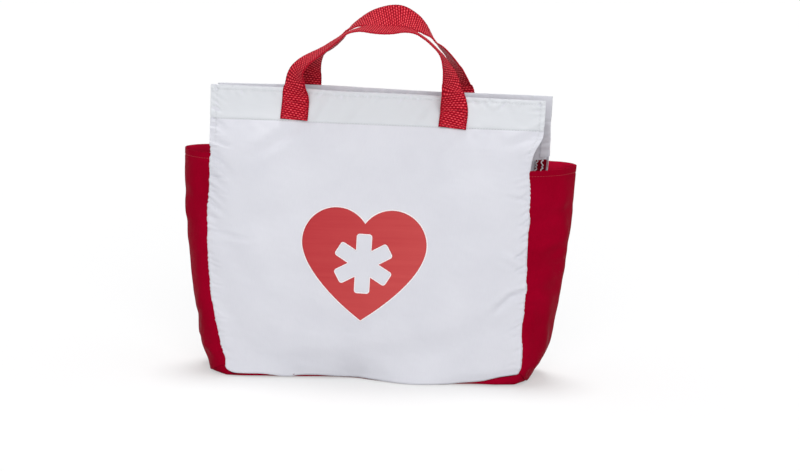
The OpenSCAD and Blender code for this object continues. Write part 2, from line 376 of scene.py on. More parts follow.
class Surface(Graph):
    """A new material with a Principled shader."""

    def __init__(self, name: str) -> None:
        """Starts the material.

        Args:
            name: The material's name.
        """
        self.material = bpy.data.materials.new(name)
        self.material.use_nodes = True
        super().__init__(self.material.node_tree)
        self.shader = self.tree.nodes["Principled BSDF"]

    def finish(self, values: dict[str, object]) -> bpy.types.Material:
        """Fills or links the shader's inputs.

        Args:
            values: What each input gets, by its name.

        Returns:
            The finished material.
        """
        for key, value in values.items():
            self.put(self.shader.inputs[key], value)
        return self.material


@dataclass(frozen=True)
class ClothFinish:
    """Smooth plain-weave cloth, as used for linings, with a faint shine."""

    name: str
    dark: Colour
    light: Colour
    # A second tone where the cloth is two-ply: painted light on the red rim hems, and on the white mouth
    # bands a tone a little darker than the wall's, painted shade.
    doubled_and_painted_light: Colour
    # Painted shade along the stitch lines, where the thread sits in its groove.
    needle: Colour
    roughness: float
    specular: float
    sheen: float
    tint: Colour = (1.0, 1.0, 1.0)
    threads_per_mm: float = 2.2
    weave_depth: float = 0.00005
    crumple: float = 0.22

    def make(self) -> bpy.types.Material:
        """Builds the material on the sheet's own map, which is in metres."""
        s = Surface(self.name)
        place = s.add("ShaderNodeTexCoord").outputs["Object"]
        cloth = s.add("ShaderNodeUVMap", uv_map="Cloth").outputs[0]
        axes = s.add("ShaderNodeSeparateXYZ", {0: cloth}).outputs
        weave = s.weave(axes[0], axes[1], 2 * math.pi * self.threads_per_mm * 500)
        slub = s.mottle(s.stretch(cloth, (2600.0, 120.0, 1.0)), 1.0, 2.0)
        broad = s.mottle(place, 22.0, 4.0)
        tone = s.total((broad, 0.55), (slub, 0.3), (weave, 0.12))
        base = s.ramp(tone, [(0.28, self.dark), (0.72, self.light)])
        # The stored values lay the second tone and the painted stitch shade over the cloth's own tone.
        for name, shade in (("doubled_and_painted_light", self.doubled_and_painted_light), ("needle", self.needle)):
            values = {0: s.stored(name), 6: base, 7: (*shade, 1)}
            base = s.add("ShaderNodeMix", values, data_type="RGBA", clamp_factor=True).outputs[2]
        ridge = s.add(
            "ShaderNodeTexNoise",
            {"Vector": s.stretch(place, (62.0, 90.0, 150.0)), "Scale": 1.0, "Detail": 3.0},
            noise_type="RIDGED_MULTIFRACTAL",
        ).outputs[0]
        threads = s.bump(weave, self.weave_depth, 0.6)
        return s.finish({
            "Base Color": base,
            "Roughness": s.between(broad, self.roughness - 0.06, self.roughness + 0.08),
            "Specular IOR Level": self.specular,
            "Specular Tint": (*self.tint, 1),
            "Sheen Weight": self.sheen,
            "Sheen Roughness": 0.4,
            "Sheen Tint": (*self.tint, 1),
            "Normal": s.bump(ridge, 0.0004, self.crumple, threads),
        })


@dataclass(frozen=True)
class WebbingFinish:
    """Woven webbing with a painted highlight on its ribs and painted shade in the gaps between them."""

    name: str
    painted_gap_shade: Colour
    rib: Colour
    glint: Colour

    def make(self) -> bpy.types.Material:
        """Builds the material from the webbing's own rib height, which paints the highlight and the shade."""
        s = Surface(self.name)
        rib = s.stored("rib")
        cloth = s.add("ShaderNodeUVMap", uv_map="Cloth").outputs[0]
        strand = s.mottle(s.stretch(cloth, (5200.0, 900.0, 1.0)), 1.0)
        tone = s.total((rib, 0.66), (strand, 0.22), (s.mottle(cloth, 700.0, 2.0), 0.16))
        return s.finish({
            "Base Color": s.ramp(tone, [(0.18, self.painted_gap_shade), (0.5, self.rib), (0.82, self.glint)]),
            "Roughness": s.between(rib, 0.62, 0.36),
            "Specular IOR Level": 0.1,
            "Specular Tint": (1.0, 0.3, 0.35, 1),
            "Normal": s.bump(strand, 0.0002),
        })


@dataclass(frozen=True)
class ThreadFinish:
    """Twisted sewing thread."""

    name: str
    colour: Colour

    def make(self) -> bpy.types.Material:
        """Builds the material with a fine twist in colour and bump."""
        s = Surface(self.name)
        place = s.add("ShaderNodeTexCoord").outputs["Object"]
        values = {"Vector": place, "Scale": 900.0, "Distortion": 1.5}
        twist = s.add("ShaderNodeTexWave", values, bands_direction="DIAGONAL").outputs["Fac"]
        dark = tuple(c * 0.72 for c in self.colour)
        return s.finish({
            "Base Color": s.ramp(twist, [(0.0, dark), (0.8, self.colour)]),
            "Roughness": 0.5,
            "Normal": s.bump(twist, 0.0001),
        })


@dataclass(frozen=True)
class InkFinish:
    """Flat screen-printed ink that lets the weave through."""

    name: str
    dark: Colour
    light: Colour
    threads: float = 6900.0

    def make(self) -> bpy.types.Material:
        """Builds the material with faint squeegee streaks, painted light that makes the ink lighter towards
        the lower right, and thread pattern.
        """
        s = Surface(self.name)
        place = s.add("ShaderNodeTexCoord").outputs["Object"]
        x, _, z = s.add("ShaderNodeSeparateXYZ", {0: place}).outputs
        streak = s.mottle(s.stretch(place, (12.0, 12.0, 320.0)), 1.0)
        # Painted light: the ink is lighter towards the lower right.
        slope = s.calc("SUBTRACT", s.calc("MULTIPLY", x, 4.2), s.calc("MULTIPLY", z, 3.0))
        tone = s.total((streak, 0.32), (s.calc("ADD", slope, 0.78), 0.75))
        return s.finish({
            "Base Color": s.ramp(tone, [(0.15, self.dark), (0.85, self.light)]),
            "Roughness": 0.62,
            "Specular IOR Level": 0.15,
            "Normal": s.bump(s.weave(x, z, self.threads), 0.00003),
        })


@dataclass(frozen=True)
class Finishes:
    """Every finish of the bag, built once."""

    white: bpy.types.Material
    red: bpy.types.Material
    lining: bpy.types.Material
    webbing: bpy.types.Material
    ink: bpy.types.Material
    border: bpy.types.Material
    white_thread: bpy.types.Material
    red_thread: bpy.types.Material

    @classmethod
    def make(cls) -> "Finishes":
        """Builds all the materials."""
        return cls(
            white=ClothFinish(
                "white_taffeta",
                dark=(0.68, 0.685, 0.745),
                light=(0.76, 0.765, 0.82),
                # The mouth band's two-ply tone, a little darker so that the leaning band is no brighter than
                # the wall: painted shade.
                doubled_and_painted_light=(0.7, 0.72, 0.755),
                needle=(0.45, 0.46, 0.49),
                roughness=0.6,
                specular=0.2,
                sheen=0.05,
            ).make(),
            red=ClothFinish(
                "red_taffeta",
                dark=(0.25, 0.0005, 0.012),
                light=(0.385, 0.001, 0.022),
                # Far lighter than the cloth: painted light on the inner face of the gussets' rim hems.
                doubled_and_painted_light=(0.62, 0.006, 0.04),
                needle=(0.18, 0.001, 0.011),
                roughness=0.55,
                specular=0.02,
                sheen=0.0,
                tint=(1.0, 0.1, 0.18),
            ).make(),
            # A darker copy of the red cloth for the seam allowances inside the bag: painted shade.
            lining=ClothFinish(
                "red_allowance_painted_shade",
                dark=(0.13, 0.001, 0.007),
                light=(0.22, 0.002, 0.013),
                doubled_and_painted_light=(0.2, 0.002, 0.012),
                needle=(0.1, 0.001, 0.006),
                roughness=0.65,
                specular=0.02,
                sheen=0.0,
            ).make(),
            webbing=WebbingFinish(
                # Painted shade in the gaps, the ribs' own red and a painted highlight on their tops.
                "red_webbing", painted_gap_shade=(0.17, 0.0008, 0.008), rib=(0.56, 0.01, 0.028), glint=(0.95, 0.12, 0.14)
            ).make(),
            ink=InkFinish("coral_ink", (0.47, 0.028, 0.038), (0.62, 0.085, 0.082)).make(),
            border=InkFinish("pale_ink", (0.93, 0.86, 0.87), (0.97, 0.92, 0.93)).make(),
            white_thread=ThreadFinish("white_thread", (0.84, 0.85, 0.88)).make(),
            red_thread=ThreadFinish("red_thread", (0.6, 0.03, 0.05)).make(),
        )


# ---------------------------------------------------------------- sheets of cloth


class Sheet:
    """A rectangular piece of cloth: a grid of points by column and row."""

    def __init__(
        self,
        name: str,
        columns: Sequence[float],
        rows: Sequence[float],
        place: Place,
        size: tuple[float, float],
    ) -> None:
        """Builds the grid.

        Args:
            name: The piece's name.
            columns: Shares across the sheet, left to right as seen from its outer face.
            rows: Shares up the sheet.
            place: Gives a point of the bag, in millimetres, for a share across and a share up.
            size: The flat sheet's width and height in millimetres, for its map.
        """
        self.columns, self.rows = list(columns), list(rows)
        wide, high = len(columns) - 1, len(rows) - 1
        bm = bmesh.new()
        bmesh.ops.create_grid(bm, x_segments=wide, y_segments=high, size=1.0)
        self.order = np.zeros((high + 1, wide + 1), int)
        bm.verts.index_update()
        spot = {}
        for vert in bm.verts:
            i, j = round((vert.co.x + 1) / 2 * wide), round((vert.co.y + 1) / 2 * high)
            self.order[j, i] = vert.index
            spot[vert.index] = (columns[i], rows[j])
        weave = bm.loops.layers.uv.new("Cloth")
        for face in bm.faces:
            face.smooth = True
            for loop in face.loops:
                u, v = spot[loop.vert.index]
                loop[weave].uv = (u * size[0] * MM, v * size[1] * MM)
        for vert in bm.verts:
            vert.co = place(*spot[vert.index]) * MM
        mesh = bpy.data.meshes.new(name)
        bm.to_mesh(mesh)
        bm.free()
        self.piece = bpy.data.objects.new(name, mesh)
        bpy.context.scene.collection.objects.link(self.piece)
        co = np.zeros(len(mesh.vertices) * 3, np.float32)
        mesh.vertices.foreach_get("co", co)
        self.points = co.reshape(-1, 3)[self.order].astype(float) / MM
        self.out = self.normals()

    def write(self) -> None:
        """Writes the points to the mesh."""
        co = np.zeros((len(self.piece.data.vertices), 3))
        co[self.order.reshape(-1)] = self.points.reshape(-1, 3) * MM
        self.piece.data.vertices.foreach_set("co", co.reshape(-1).astype(np.float32))
        self.piece.data.update()

    def normals(self) -> np.ndarray:
        """Returns the outward direction at each point."""
        across = np.gradient(self.points, axis=1)
        up = np.gradient(self.points, axis=0)
        out = np.cross(across, up)
        return out / np.maximum(np.linalg.norm(out, axis=2, keepdims=True), 1e-9)

    def freeze(self) -> None:
        """Takes the outward directions again, after the points have moved."""
        self.out = self.normals()

    def at(self, u: float, v: float, lift: float = 0.0) -> Vector:
        """Returns the point at a share across and a share up, lifted off the cloth.

        Args:
            u: Share across.
            v: Share up.
            lift: Millimetres outward; negative is inward.

        Returns:
            The point in millimetres.
        """
        (i, a), (j, b) = locate(self.columns, clamp(u)), locate(self.rows, clamp(v))
        weights = (
            ((1 - a) * (1 - b), j, i), (a * (1 - b), j, i + 1),
            ((1 - a) * b, j + 1, i), (a * b, j + 1, i + 1),
        )
        return Vector(sum(w * (self.points[r, c] + lift * self.out[r, c]) for w, r, c in weights))

    def tint(self, name: str, values: np.ndarray) -> None:
        """Stores a value at each point for the finish to read.

        Args:
            name: The attribute's name.
            values: One value by row and column.
        """
        layer = self.piece.data.attributes.new(name, "FLOAT", "POINT")
        flat = np.zeros(self.order.size, np.float32)
        flat[self.order.reshape(-1)] = values.reshape(-1)
        layer.data.foreach_set("value", flat)

    def thicken(self, thickness: float, finish: bpy.types.Material, levels: int = 1) -> None:
        """Gives the sheet its thickness, inward, smooths it and gives it its finish.

        Args:
            thickness: Millimetres.
            finish: The material.
            levels: Subdivision levels.
        """
        solid = self.piece.modifiers.new("thickness", "SOLIDIFY")
        solid.thickness, solid.offset = thickness * MM, -1.0
        if levels:
            smooth = self.piece.modifiers.new("smooth", "SUBSURF")
            smooth.levels = smooth.render_levels = levels
        self.piece.data.materials.append(finish)


@dataclass(frozen=True)
class Settler:
    """Lets cloth find its own small buckles between the seams that hold it.

    The spare cloth is a share of its size. Each point roams so many millimetres at most, and
    takes a share of its movement once the drift that is broader than so many softening passes
    is taken away.
    """

    frames: int = 22
    spare: float = 0.012
    bending: float = 1.5
    roam: float = 2.0
    share: float = 1.0
    seed: float = 0.0
    broad: int = 60

    def settle(self, sheet: Sheet, held: Callable[[float, float], float]) -> np.ndarray:
        """Runs the cloth simulation on a coarse sheet, which is removed afterwards.

        Args:
            sheet: The sheet to settle.
            held: Gives how firmly a point is held, from 0 to 1, by its shares across and up.

        Returns:
            How far each point moves, without the sheet's broad drift, in millimetres.
        """
        start = sheet.points.copy()
        piece, moved = sheet.piece, np.zeros_like(sheet.points)
        nudge = rumple(start[..., 0] / 26 + start[..., 1] / 20, start[..., 2] / 26, self.seed)
        sheet.points += sheet.normals() * nudge[..., None] * 0.8
        sheet.write()
        group = piece.vertex_groups.new(name="held")
        for j, v in enumerate(sheet.rows):
            for i, u in enumerate(sheet.columns):
                group.add([int(sheet.order[j, i])], held(u, v), "REPLACE")
        cloth = piece.modifiers.new("settle", "CLOTH")
        s = cloth.settings
        s.quality, s.mass, s.air_damping = 6, 0.12, 3.0
        s.tension_stiffness = s.compression_stiffness = 18.0
        s.shear_stiffness, s.bending_stiffness = 6.0, self.bending
        s.vertex_group_mass, s.pin_stiffness = "held", 1.0
        s.shrink_min = -self.spare
        s.effector_weights.gravity = 0.15
        cloth.collision_settings.use_collision = False
        cache = cloth.point_cache
        cache.frame_start, cache.frame_end = 1, self.frames
        scene = bpy.context.scene
        for f in range(1, self.frames + 1):
            scene.frame_set(f)
        settled = piece.evaluated_get(bpy.context.evaluated_depsgraph_get())
        co = np.zeros(len(piece.data.vertices) * 3, np.float32)
        settled.data.vertices.foreach_get("co", co)
        scene.frame_set(1)
        moved = co.reshape(-1, 3)[sheet.order].astype(float) / MM - start
        moved = (moved - soften(moved, self.broad)) * self.share
        length = np.linalg.norm(moved, axis=2, keepdims=True)
        LOG.info("%s settled: %.2f mm at most", piece.name, float(length.max()))
        moved *= np.minimum(1.0, self.roam / np.maximum(length, 1e-9))
        mesh = piece.data
        bpy.data.objects.remove(piece)
        bpy.data.meshes.remove(mesh)
        return moved


@dataclass(frozen=True)
class Crease:
    """A soft fold in a wall, from one point to another, in X and Z millimetres."""

    start: tuple[float, float]
    end: tuple[float, float]
    width: float
    height: float
    tilt: float = 0.6

    def lift(self, x: np.ndarray, z: np.ndarray) -> np.ndarray:
        """Gives how far the fold moves each point outward.

        Args:
            x: The points' X in millimetres.
            z: Their Z.

        Returns:
            The distances in millimetres.
        """
        (ax, az), (bx, bz) = self.start, self.end
        dx, dz = bx - ax, bz - az
        length = math.hypot(dx, dz)
        t = ((x - ax) * dx + (z - az) * dz) / length**2
        d = ((x - ax) * dz - (z - az) * dx) / length / self.width
        past = np.maximum(0.0, np.maximum(-t, t - 1)) * 4
        run = np.exp(-past * past) * (0.55 + 0.45 * np.sin(np.pi * np.clip(t, 0, 1)))
        flank = np.where(d > 0, 1.0, 0.4) * np.exp(-((np.abs(d) - 1.5) ** 2))
        return self.height * run * (np.exp(-d * d) - self.tilt * flank)


# ---------------------------------------------------------------- small sewn parts


def publish(
    bm: bmesh.types.BMesh, name: str, finish: bpy.types.Material, smooth: bool = True
) -> bpy.types.Object:
    """Turns a finished bmesh, in metres, into a piece with a material.

    Args:
        bm: The bmesh, which is freed.
        name: The piece's name.
        finish: Its material.
        smooth: Whether its faces are shaded smooth.

    Returns:
        The new object.
    """
    for face in bm.faces:
        face.smooth = smooth
    mesh = bpy.data.meshes.new(name)
    bm.to_mesh(mesh)
    bm.free()
    piece = bpy.data.objects.new(name, mesh)
    bpy.context.scene.collection.objects.link(piece)
    piece.data.materials.append(finish)
    return piece


def attach(piece: bpy.types.Object, body: str | tuple[str, str], slot: str, *nodes: str) -> None:
    """Fixes a piece to its body, or bakes its transform in where it lies between two bodies, and hides the
    solids it stands for.

    Args:
        piece: The finished piece.
        body: The body it rides on, or two bodies, for which the transform is only baked in.
        slot: The record's material slot; not used.
        *nodes: CAD nodes that it replaces.
    """
    if isinstance(body, str):
        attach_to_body(piece, body)
    else:
        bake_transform(piece)
    if nodes:
        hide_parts(*nodes)
    LOG.info("piece %s: %d vertices", piece.name, len(piece.data.vertices))


class Part(ABC):
    """A sewn part of the bag, made of one or more pieces."""

    @abstractmethod
    def build(self) -> list[bpy.types.Object]:
        """Makes the part's pieces."""

    @abstractmethod
    def dress(self, pieces: list[bpy.types.Object]) -> None:
        """Fixes the pieces to their bodies and hides the CAD nodes they stand for."""


@dataclass(frozen=True)
class Stitching:
    """A row of lockstitches."""

    pitch: float = 2.6
    length: float = 2.0
    width: float = 0.45
    height: float = 0.3

    def sew(self, bm: bmesh.types.BMesh, line: Sequence[Vector], out: Callable[[Vector], Vector]) -> None:
        """Adds stitches along a line.

        Args:
            bm: The bmesh that takes the stitches.
            line: Points of the seam in millimetres.
            out: Gives the outward direction at a point.
        """
        run = [0.0]
        for a, b in zip(line, line[1:]):
            run.append(run[-1] + (b - a).length)
        count = max(1, round(run[-1] / self.pitch))
        k = 0
        for n in range(count):
            middle = (n + 0.5) * run[-1] / count
            while k < len(run) - 2 and run[k + 1] < middle:
                k += 1
            a, b = line[k], line[k + 1]
            spot = a.lerp(b, (middle - run[k]) / max(run[k + 1] - run[k], 1e-6))
            way = (b - a).normalized()
            up = out(spot)
            up = (up - way * up.dot(way)).normalized()
            wobble = 0.12 * math.sin(12.9 * n)
            turn = Matrix((way + up.cross(way) * wobble, up.cross(way), up)).transposed().to_4x4()
            size = Matrix.Diagonal((self.length / 2 * MM, self.width / 2 * MM, self.height / 2 * MM, 1))
            bmesh.ops.create_uvsphere(
                bm, u_segments=6, v_segments=4, radius=1.0, matrix=Matrix.Translation(spot * MM) @ turn @ size
            )


def thread_line(bm: bmesh.types.BMesh, path: Callable[[float], Vector], steps: int, radius: float) -> None:
    """Adds a thin round thread along a path.

    Args:
        bm: The bmesh that takes the thread.
        path: Gives a point in millimetres for a share from 0 to 1.
        steps: Number of lengths.
        radius: Millimetres.
    """
    made = bmesh.ops.create_grid(bm, x_segments=6, y_segments=steps, size=1.0)["verts"]
    for vert in made:
        turn = (vert.co.x + 1) * math.pi
        t = (vert.co.y + 1) / 2
        here = path(t)
        way = (path(min(t + 0.5 / steps, 1)) - path(max(t - 0.5 / steps, 0))).normalized()
        side = way.orthogonal().normalized()
        vert.co = (here + (side * math.cos(turn) + way.cross(side) * math.sin(turn)) * radius) * MM
    bmesh.ops.remove_doubles(bm, verts=made, dist=0.00001)


# ---------------------------------------------------------------- the bag's form


FOOT_REACH = 42


@dataclass(frozen=True)
class Post:
    """The upright seam at one corner.

    It holds its X by height, which wall it ends, the heights of its foot and of the gusset's
    rim, and how far its foot is pushed outward.
    """

    x: Curve
    facing: Facing
    foot: float
    rim: float
    toe: float = 0.0

    def at(self, z: float, inward: float = 0.0) -> Vector:
        """Returns the seam's point at a height, moved towards the bag's middle line."""
        out = DEPTH[self.facing].at(z) + self.toe * low_share(z) - inward
        return Vector((self.x.at(z), self.facing.value * out, z))


def low_share(z: float) -> float:
    """Returns how far a point shares the foot's push outward, by its height."""
    return max(0.0, 1 - max(0.0, z) / FOOT_REACH) ** 2


LOW_DEPTH = ((0, 39.6), (60, 36.2), (120, 32.2), (190, 27.6), (214, 25.8), (228, 21.9))
DEPTH = {
    Facing.FRONT: Curve((*LOW_DEPTH, (245, 16.9), (266, 11.0))),
    Facing.BACK: Curve((*LOW_DEPTH, (245, 16.6), (256, 14.2), (266, 13.4))),
}
FRONT_LEFT = Post(
    Curve(
        ((4, -130.2), (9, -130.4), (16, -131.2), (22, -133.6), (31, -136.5), (40, -138.8),
         (54, -141.7), (69, -144.9), (106, -149.0), (134, -150.4), (174, -149.7), (198, -149.0),
         (215, -148.6), (240, -149.3), (268, -150.2))
    ),
    Facing.FRONT, 9.5, 205.5, 7.5,
)
FRONT_RIGHT = Post(
    Curve(
        ((9, 141.2), (12.5, 142.4), (17.6, 144.2), (33, 144.9), (54, 144.6), (76, 145.9), (86, 146.8),
         (130, 147.1), (162, 147.5), (171, 147.9), (188, 146.6), (199, 146.5), (208, 147.5), (216, 149.4),
         (228, 155.8), (236, 156.8), (247, 157.5), (262, 157.6))
    ),
    Facing.FRONT, 12.0, 198.5,
)
BACK_RIGHT = Post(
    Curve(
        ((9, 146), (30, 149.5), (76, 153), (130, 157), (180, 161), (201, 162.4), (222, 163.3),
         (236, 162.8), (246, 163.5), (264, 163.8))
    ),
    Facing.BACK, 11.0, 201.0,
)
BACK_LEFT = Post(
    Curve(((9, -129), (40, -136), (100, -145), (200, -149.5), (240, -148.5), (266, -147.5))),
    Facing.BACK, 9.0, 206.5,
)


@dataclass
class Wall(Part):
    """One large white wall with its mouth: one cloth from the bottom seam to the mouth's edge.

    Its base and crest give the heights of its lower and upper edge by share across, and its toe
    says how far the foot is pushed outward there.
    """

    name: str
    facing: Facing
    start: Post
    end: Post
    base: Curve
    crest: Curve
    creases: tuple[Crease, ...]
    finishes: Finishes
    toe: Curve = Curve(((0, 0), (1, 0)))
    belly: float = 7.5
    fold: float = 214.4
    hem: float = 29.0
    edge_hem: float = 9.0
    free: float = 51.0
    top_stitch: float = 4.0
    side_stitch: float = 5.0
    roll: float = 2.4
    cloth: float = 0.5
    sheet: Sheet = field(init=False)

    FOLD_SHARE = 0.8
    FLAT = (305, 268)
    NEAR_EDGE = (0, 0.5, 1.2, 2.0, 2.8, 3.6, 4.4, 5.0, 5.6, 6.4, 7.4, 8.6, 10.0, 11.6, 13.4)
    NEAR_CREST = (0.0, 0.5, 1.1, 1.8, 2.6, 3.4, 4.0, 4.6, 5.4, 6.4)
    NEAR_HEM = (28.1, 28.6, 29.0, 29.4, 29.9, 30.6)

    def height(self, u: float, v: float) -> float:
        """Returns the height of a point by its shares across and up."""
        if v < self.FOLD_SHARE:
            return mix(self.base.at(u), self.fold, v / self.FOLD_SHARE)
        return mix(self.fold, self.crest.at(u), (v - self.FOLD_SHARE) / (1 - self.FOLD_SHARE))

    def point(self, u: float, v: float) -> Vector:
        """Gives a point of the wall's outer face before its cloth settles.

        Args:
            u: Share across.
            v: Share up.

        Returns:
            The point in millimetres.
        """
        z = self.height(u, v)
        start, end = self.start.x.at(z), self.end.x.at(z)
        bulge = self.belly * math.sin(math.pi * clamp(z / self.fold)) * (1 - abs(2 * u - 1) ** 4)
        out = DEPTH[self.facing].at(z) + bulge + self.toe.at(u) * low_share(z)
        near = min(u, 1 - u) * abs(end - start)
        if near < self.roll:
            out -= 2.0 * (1 - near / self.roll) ** 2 * clamp((214 - z) / 10)
        return Vector((mix(start, end, u), self.facing.value * out, z))

    def shares_at(self, x: float, z: float) -> tuple[float, float]:
        """Returns the shares across and up of a point of the mouth, given its X and Z."""
        u = (x - self.start.x.at(z)) / (self.end.x.at(z) - self.start.x.at(z))
        high = (z - self.fold) / (self.crest.at(u) - self.fold)
        return u, self.FOLD_SHARE + (1 - self.FOLD_SHARE) * high

    def up_share(self, below_crest: float) -> float:
        """Returns the share up the wall at a distance below the mouth's edge."""
        deep = (self.crest.at(0.5) - self.fold) * 1.03
        return 1 - (1 - self.FOLD_SHARE) * below_crest / deep

    def distances(self) -> tuple[np.ndarray, np.ndarray, np.ndarray, np.ndarray]:
        """Returns each point's shares across and up, and its distances from the side and the top."""
        u, v = np.meshgrid(self.sheet.columns, self.sheet.rows)
        wide = abs(self.end.x.at(150) - self.start.x.at(150))
        return u, v, np.minimum(u, 1 - u) * wide, (1 - v) / (1 - self.FOLD_SHARE) * self.free

    def relief(self) -> None:
        """Adds folds, puckers and the dents of the stitch lines to the settled cloth."""
        sheet, out = self.sheet, self.sheet.normals()
        x, z = sheet.points[..., 0], sheet.points[..., 2]
        u, v, edge, below = self.distances()
        seed = 2.0 + self.facing.value
        creases = (*self.creases, *self.edge_folds(), *self.mouth_folds())
        lift = sum(crease.lift(x, z) for crease in creases)
        lift = lift + 0.45 * hump(below - self.hem, 2.5, 5.0) * rumple(x / 11, z / 30, seed)
        lift += 0.25 * hump(below, 7, 4.5) * rumple(x / 9 + z / 20, z / 26, seed + 1)
        lift += 0.3 * hump(below, 1.8, 1.3) * (1 + 0.5 * rumple(x / 8, z / 40, seed + 2))
        lift -= 0.4 * hump(below, self.hem, 0.7) + 0.2 * hump(below, self.top_stitch, 0.6)
        ripple = np.sin(2 * np.pi * z / 3.3 + 2 * rumple(z / 15, u, seed + 3))
        lift += 0.13 * ripple * hump(edge, 2.6, 2.2) * np.clip(z / 20, 0, 1)
        lift -= 0.35 * np.clip((z - 208) / 8, 0, 1) * hump(edge, self.side_stitch, 0.7)
        facets = np.sqrt(rumple(x / 170 - z / 120, z / 130 + x / 200, seed + 4) ** 2 + 0.02)
        small = np.abs(rumple(x / 26 + z / 40, z / 17, seed + 5))
        lift += 1.8 * (facets - 0.45) + 0.1 * (small - 0.4)
        lift *= np.where(z < 206, np.clip((edge + 0.1) / 2.0, 0, 1), 1.0)
        sheet.points += out * (lift * np.clip(v * 40, 0, 1))[..., None]
        sheet.write()

    def edge_pull(self, left: bool, z: float) -> float:
        """Gives how strongly a side seam pulls the cloth into puckers.

        Args:
            left: Whether it is the bag's left seam.
            z: The height.

        Returns:
            The depth of the puckers in millimetres.
        """
        if not left:
            return 0.22 + 0.3 * bell((z - 140) / 60)
        return mix(0.25, 0.75, clamp((z - 135) / 25)) * (0.6 if z > 238 else 1.0)

    def edge_folds(self) -> list[Crease]:
        """Lists the short folds that the side seams pull into the cloth."""
        pick = random.Random(17 + self.facing.value)
        folds = []
        for post in (self.start, self.end):
            left = post.x.at(100) < 0
            z = 16.0
            while z < 262:
                strong = self.edge_pull(left, z)
                reach = pick.uniform(5, 11) + 9 * strong * pick.random()
                x, drop = post.x.at(z), reach * pick.uniform(-0.1, 0.8)
                end = (x + (reach if left else -reach), z - drop)
                width, height = pick.uniform(1.0, 1.8), max(-1.5, strong * pick.uniform(-3.0, -0.9))
                folds.append(Crease((x, z), end, width, height))
                z += pick.uniform(3.5, 8.5)
        return folds

    def mouth_folds(self) -> list[Crease]:
        """Lists the small wrinkles that the two-ply hem has along the mouth's edge."""
        pick = random.Random(31 + self.facing.value)
        folds = []
        x = -146.0
        while x < 156:
            u = clamp(self.shares_at(x, 262)[0])
            top = self.crest.at(u) - pick.uniform(0, 3)
            reach = pick.uniform(2.5, 7.5)
            end = (x - reach * pick.uniform(-0.6, 1.1), top - reach)
            folds.append(Crease((x, top), end, pick.uniform(0.9, 1.8), pick.uniform(-1.5, -0.3)))
            x += pick.uniform(3.5, 10.5)
        return folds

    def seam_shade(self) -> None:
        """Stores painted shade along the stitch lines, and where the mouth band is two-ply, for the finish.
        """
        _, v, edge, below = self.distances()
        # Painted shade along the hem stitch, the top stitch and the side stitches.
        line = 0.55 * hump(below, self.hem, 0.5) + 0.15 * hump(below, self.top_stitch, 0.5)
        line += 0.2 * hump(edge, self.side_stitch, 0.5) * (v > self.FOLD_SHARE)
        self.sheet.tint("needle", line)
        # The two-ply band above the hem stitch takes the second tone: painted shade.
        self.sheet.tint("doubled_and_painted_light", np.clip((self.hem - below) / 0.8 + 0.5, 0, 1))

    def fine_grid(self) -> Grid:
        """Returns the columns and rows of the finished wall, close together at seams and hems."""
        columns = mirrored([d / self.FLAT[0] for d in self.NEAR_EDGE], 128)
        band = (self.NEAR_CREST[-1] + 1.2 * k for k in range(1, 18))
        under = (self.NEAR_HEM[-1] + 1.25 * k for k in range(1, 19))
        rows = [self.up_share(d) for d in (*self.NEAR_CREST, *band, *self.NEAR_HEM, *under)]
        lowest = min(rows)
        return columns, sorted({*rows, *(lowest * (k / 160) ** 0.96 for k in range(160))})

    def build(self) -> list[bpy.types.Object]:
        """Makes the wall, its hems and its stitching.

        Returns:
            The pieces, the wall itself first.
        """
        hem_share = self.up_share(self.hem)

        def held(u: float, v: float) -> float:
            """Says how firmly the seams and the hem hold a point, from 0 to 1."""
            edge = min(u, 1 - u)
            firm = 1.0 if edge < 0.006 or v < 0.004 or v > hem_share - 0.004 else 0.0
            return max(firm, 0.5 * bell(edge / 0.02))

        coarse, fine = (shares(84, 0.2), shares(76)), self.fine_grid()
        draft = Sheet(f"{self.name}_draft", *coarse, self.point, self.FLAT)
        seed = 3.0 + self.facing.value
        moved = Settler(seed=seed, spare=0.009, bending=2.5, roam=0.9, share=0.3).settle(draft, held)
        self.sheet = Sheet(f"{self.name}_wall", *fine, self.point, self.FLAT)
        self.sheet.points += soften(refine(moved, coarse, fine), 6)
        self.relief()
        self.sheet.freeze()
        self.seam_shade()
        self.sheet.thicken(self.cloth, self.finishes.white, 0)
        return [self.sheet.piece, self.mouth_hem(), *self.edge_hems(), self.stitches()]

    def mouth_hem(self) -> bpy.types.Object:
        """Makes the two-ply band inside the mouth, folded over at the top."""
        tall = self.hem + 0.6
        drops = [0.0, 0.5, 1.4, 4.0, 9.0, 14.0, 19.0, 24.0, self.hem - 1, tall]

        def place(u: float, v: float) -> Vector:
            """Gives a point of the band, close behind the wall's cloth."""
            down = v * tall
            tuck = -0.25 - 0.6 * min(1.0, down / 1.4) + (0.25 if down > self.hem - 2 else 0.0)
            spot = self.sheet.at(mix(0.002, 0.998, u), self.up_share(max(down - 0.3, 0)), tuck)
            return spot + Vector((0, 0, 0.3 * (1 - min(1.0, down / 0.8))))

        rows = [d / tall for d in drops]
        size = (self.FLAT[0], self.hem)
        band = Sheet(f"{self.name}_mouth_band", shares(150, 0.2), rows, place, size)
        band.tint("doubled_and_painted_light", np.zeros(band.order.shape))
        band.thicken(0.4, self.finishes.white)
        return band.piece

    def edge_hems(self) -> list[bpy.types.Object]:
        """Makes the narrow hems inside the two free side edges."""
        made = []
        low, high = self.FOLD_SHARE - 0.042, self.up_share(self.hem - 3)
        step = self.edge_hem / self.FLAT[0]
        for first, way in ((0.0, 1), (1.0, -1)):

            def place(u: float, v: float, first: float = first, way: int = way) -> Vector:
                """Gives a point of the hem, close behind the wall's cloth."""
                tuck = -0.25 - 0.6 * min(1.0, u * 8)
                return self.sheet.at(first + way * u * step, mix(low, high, v), tuck)

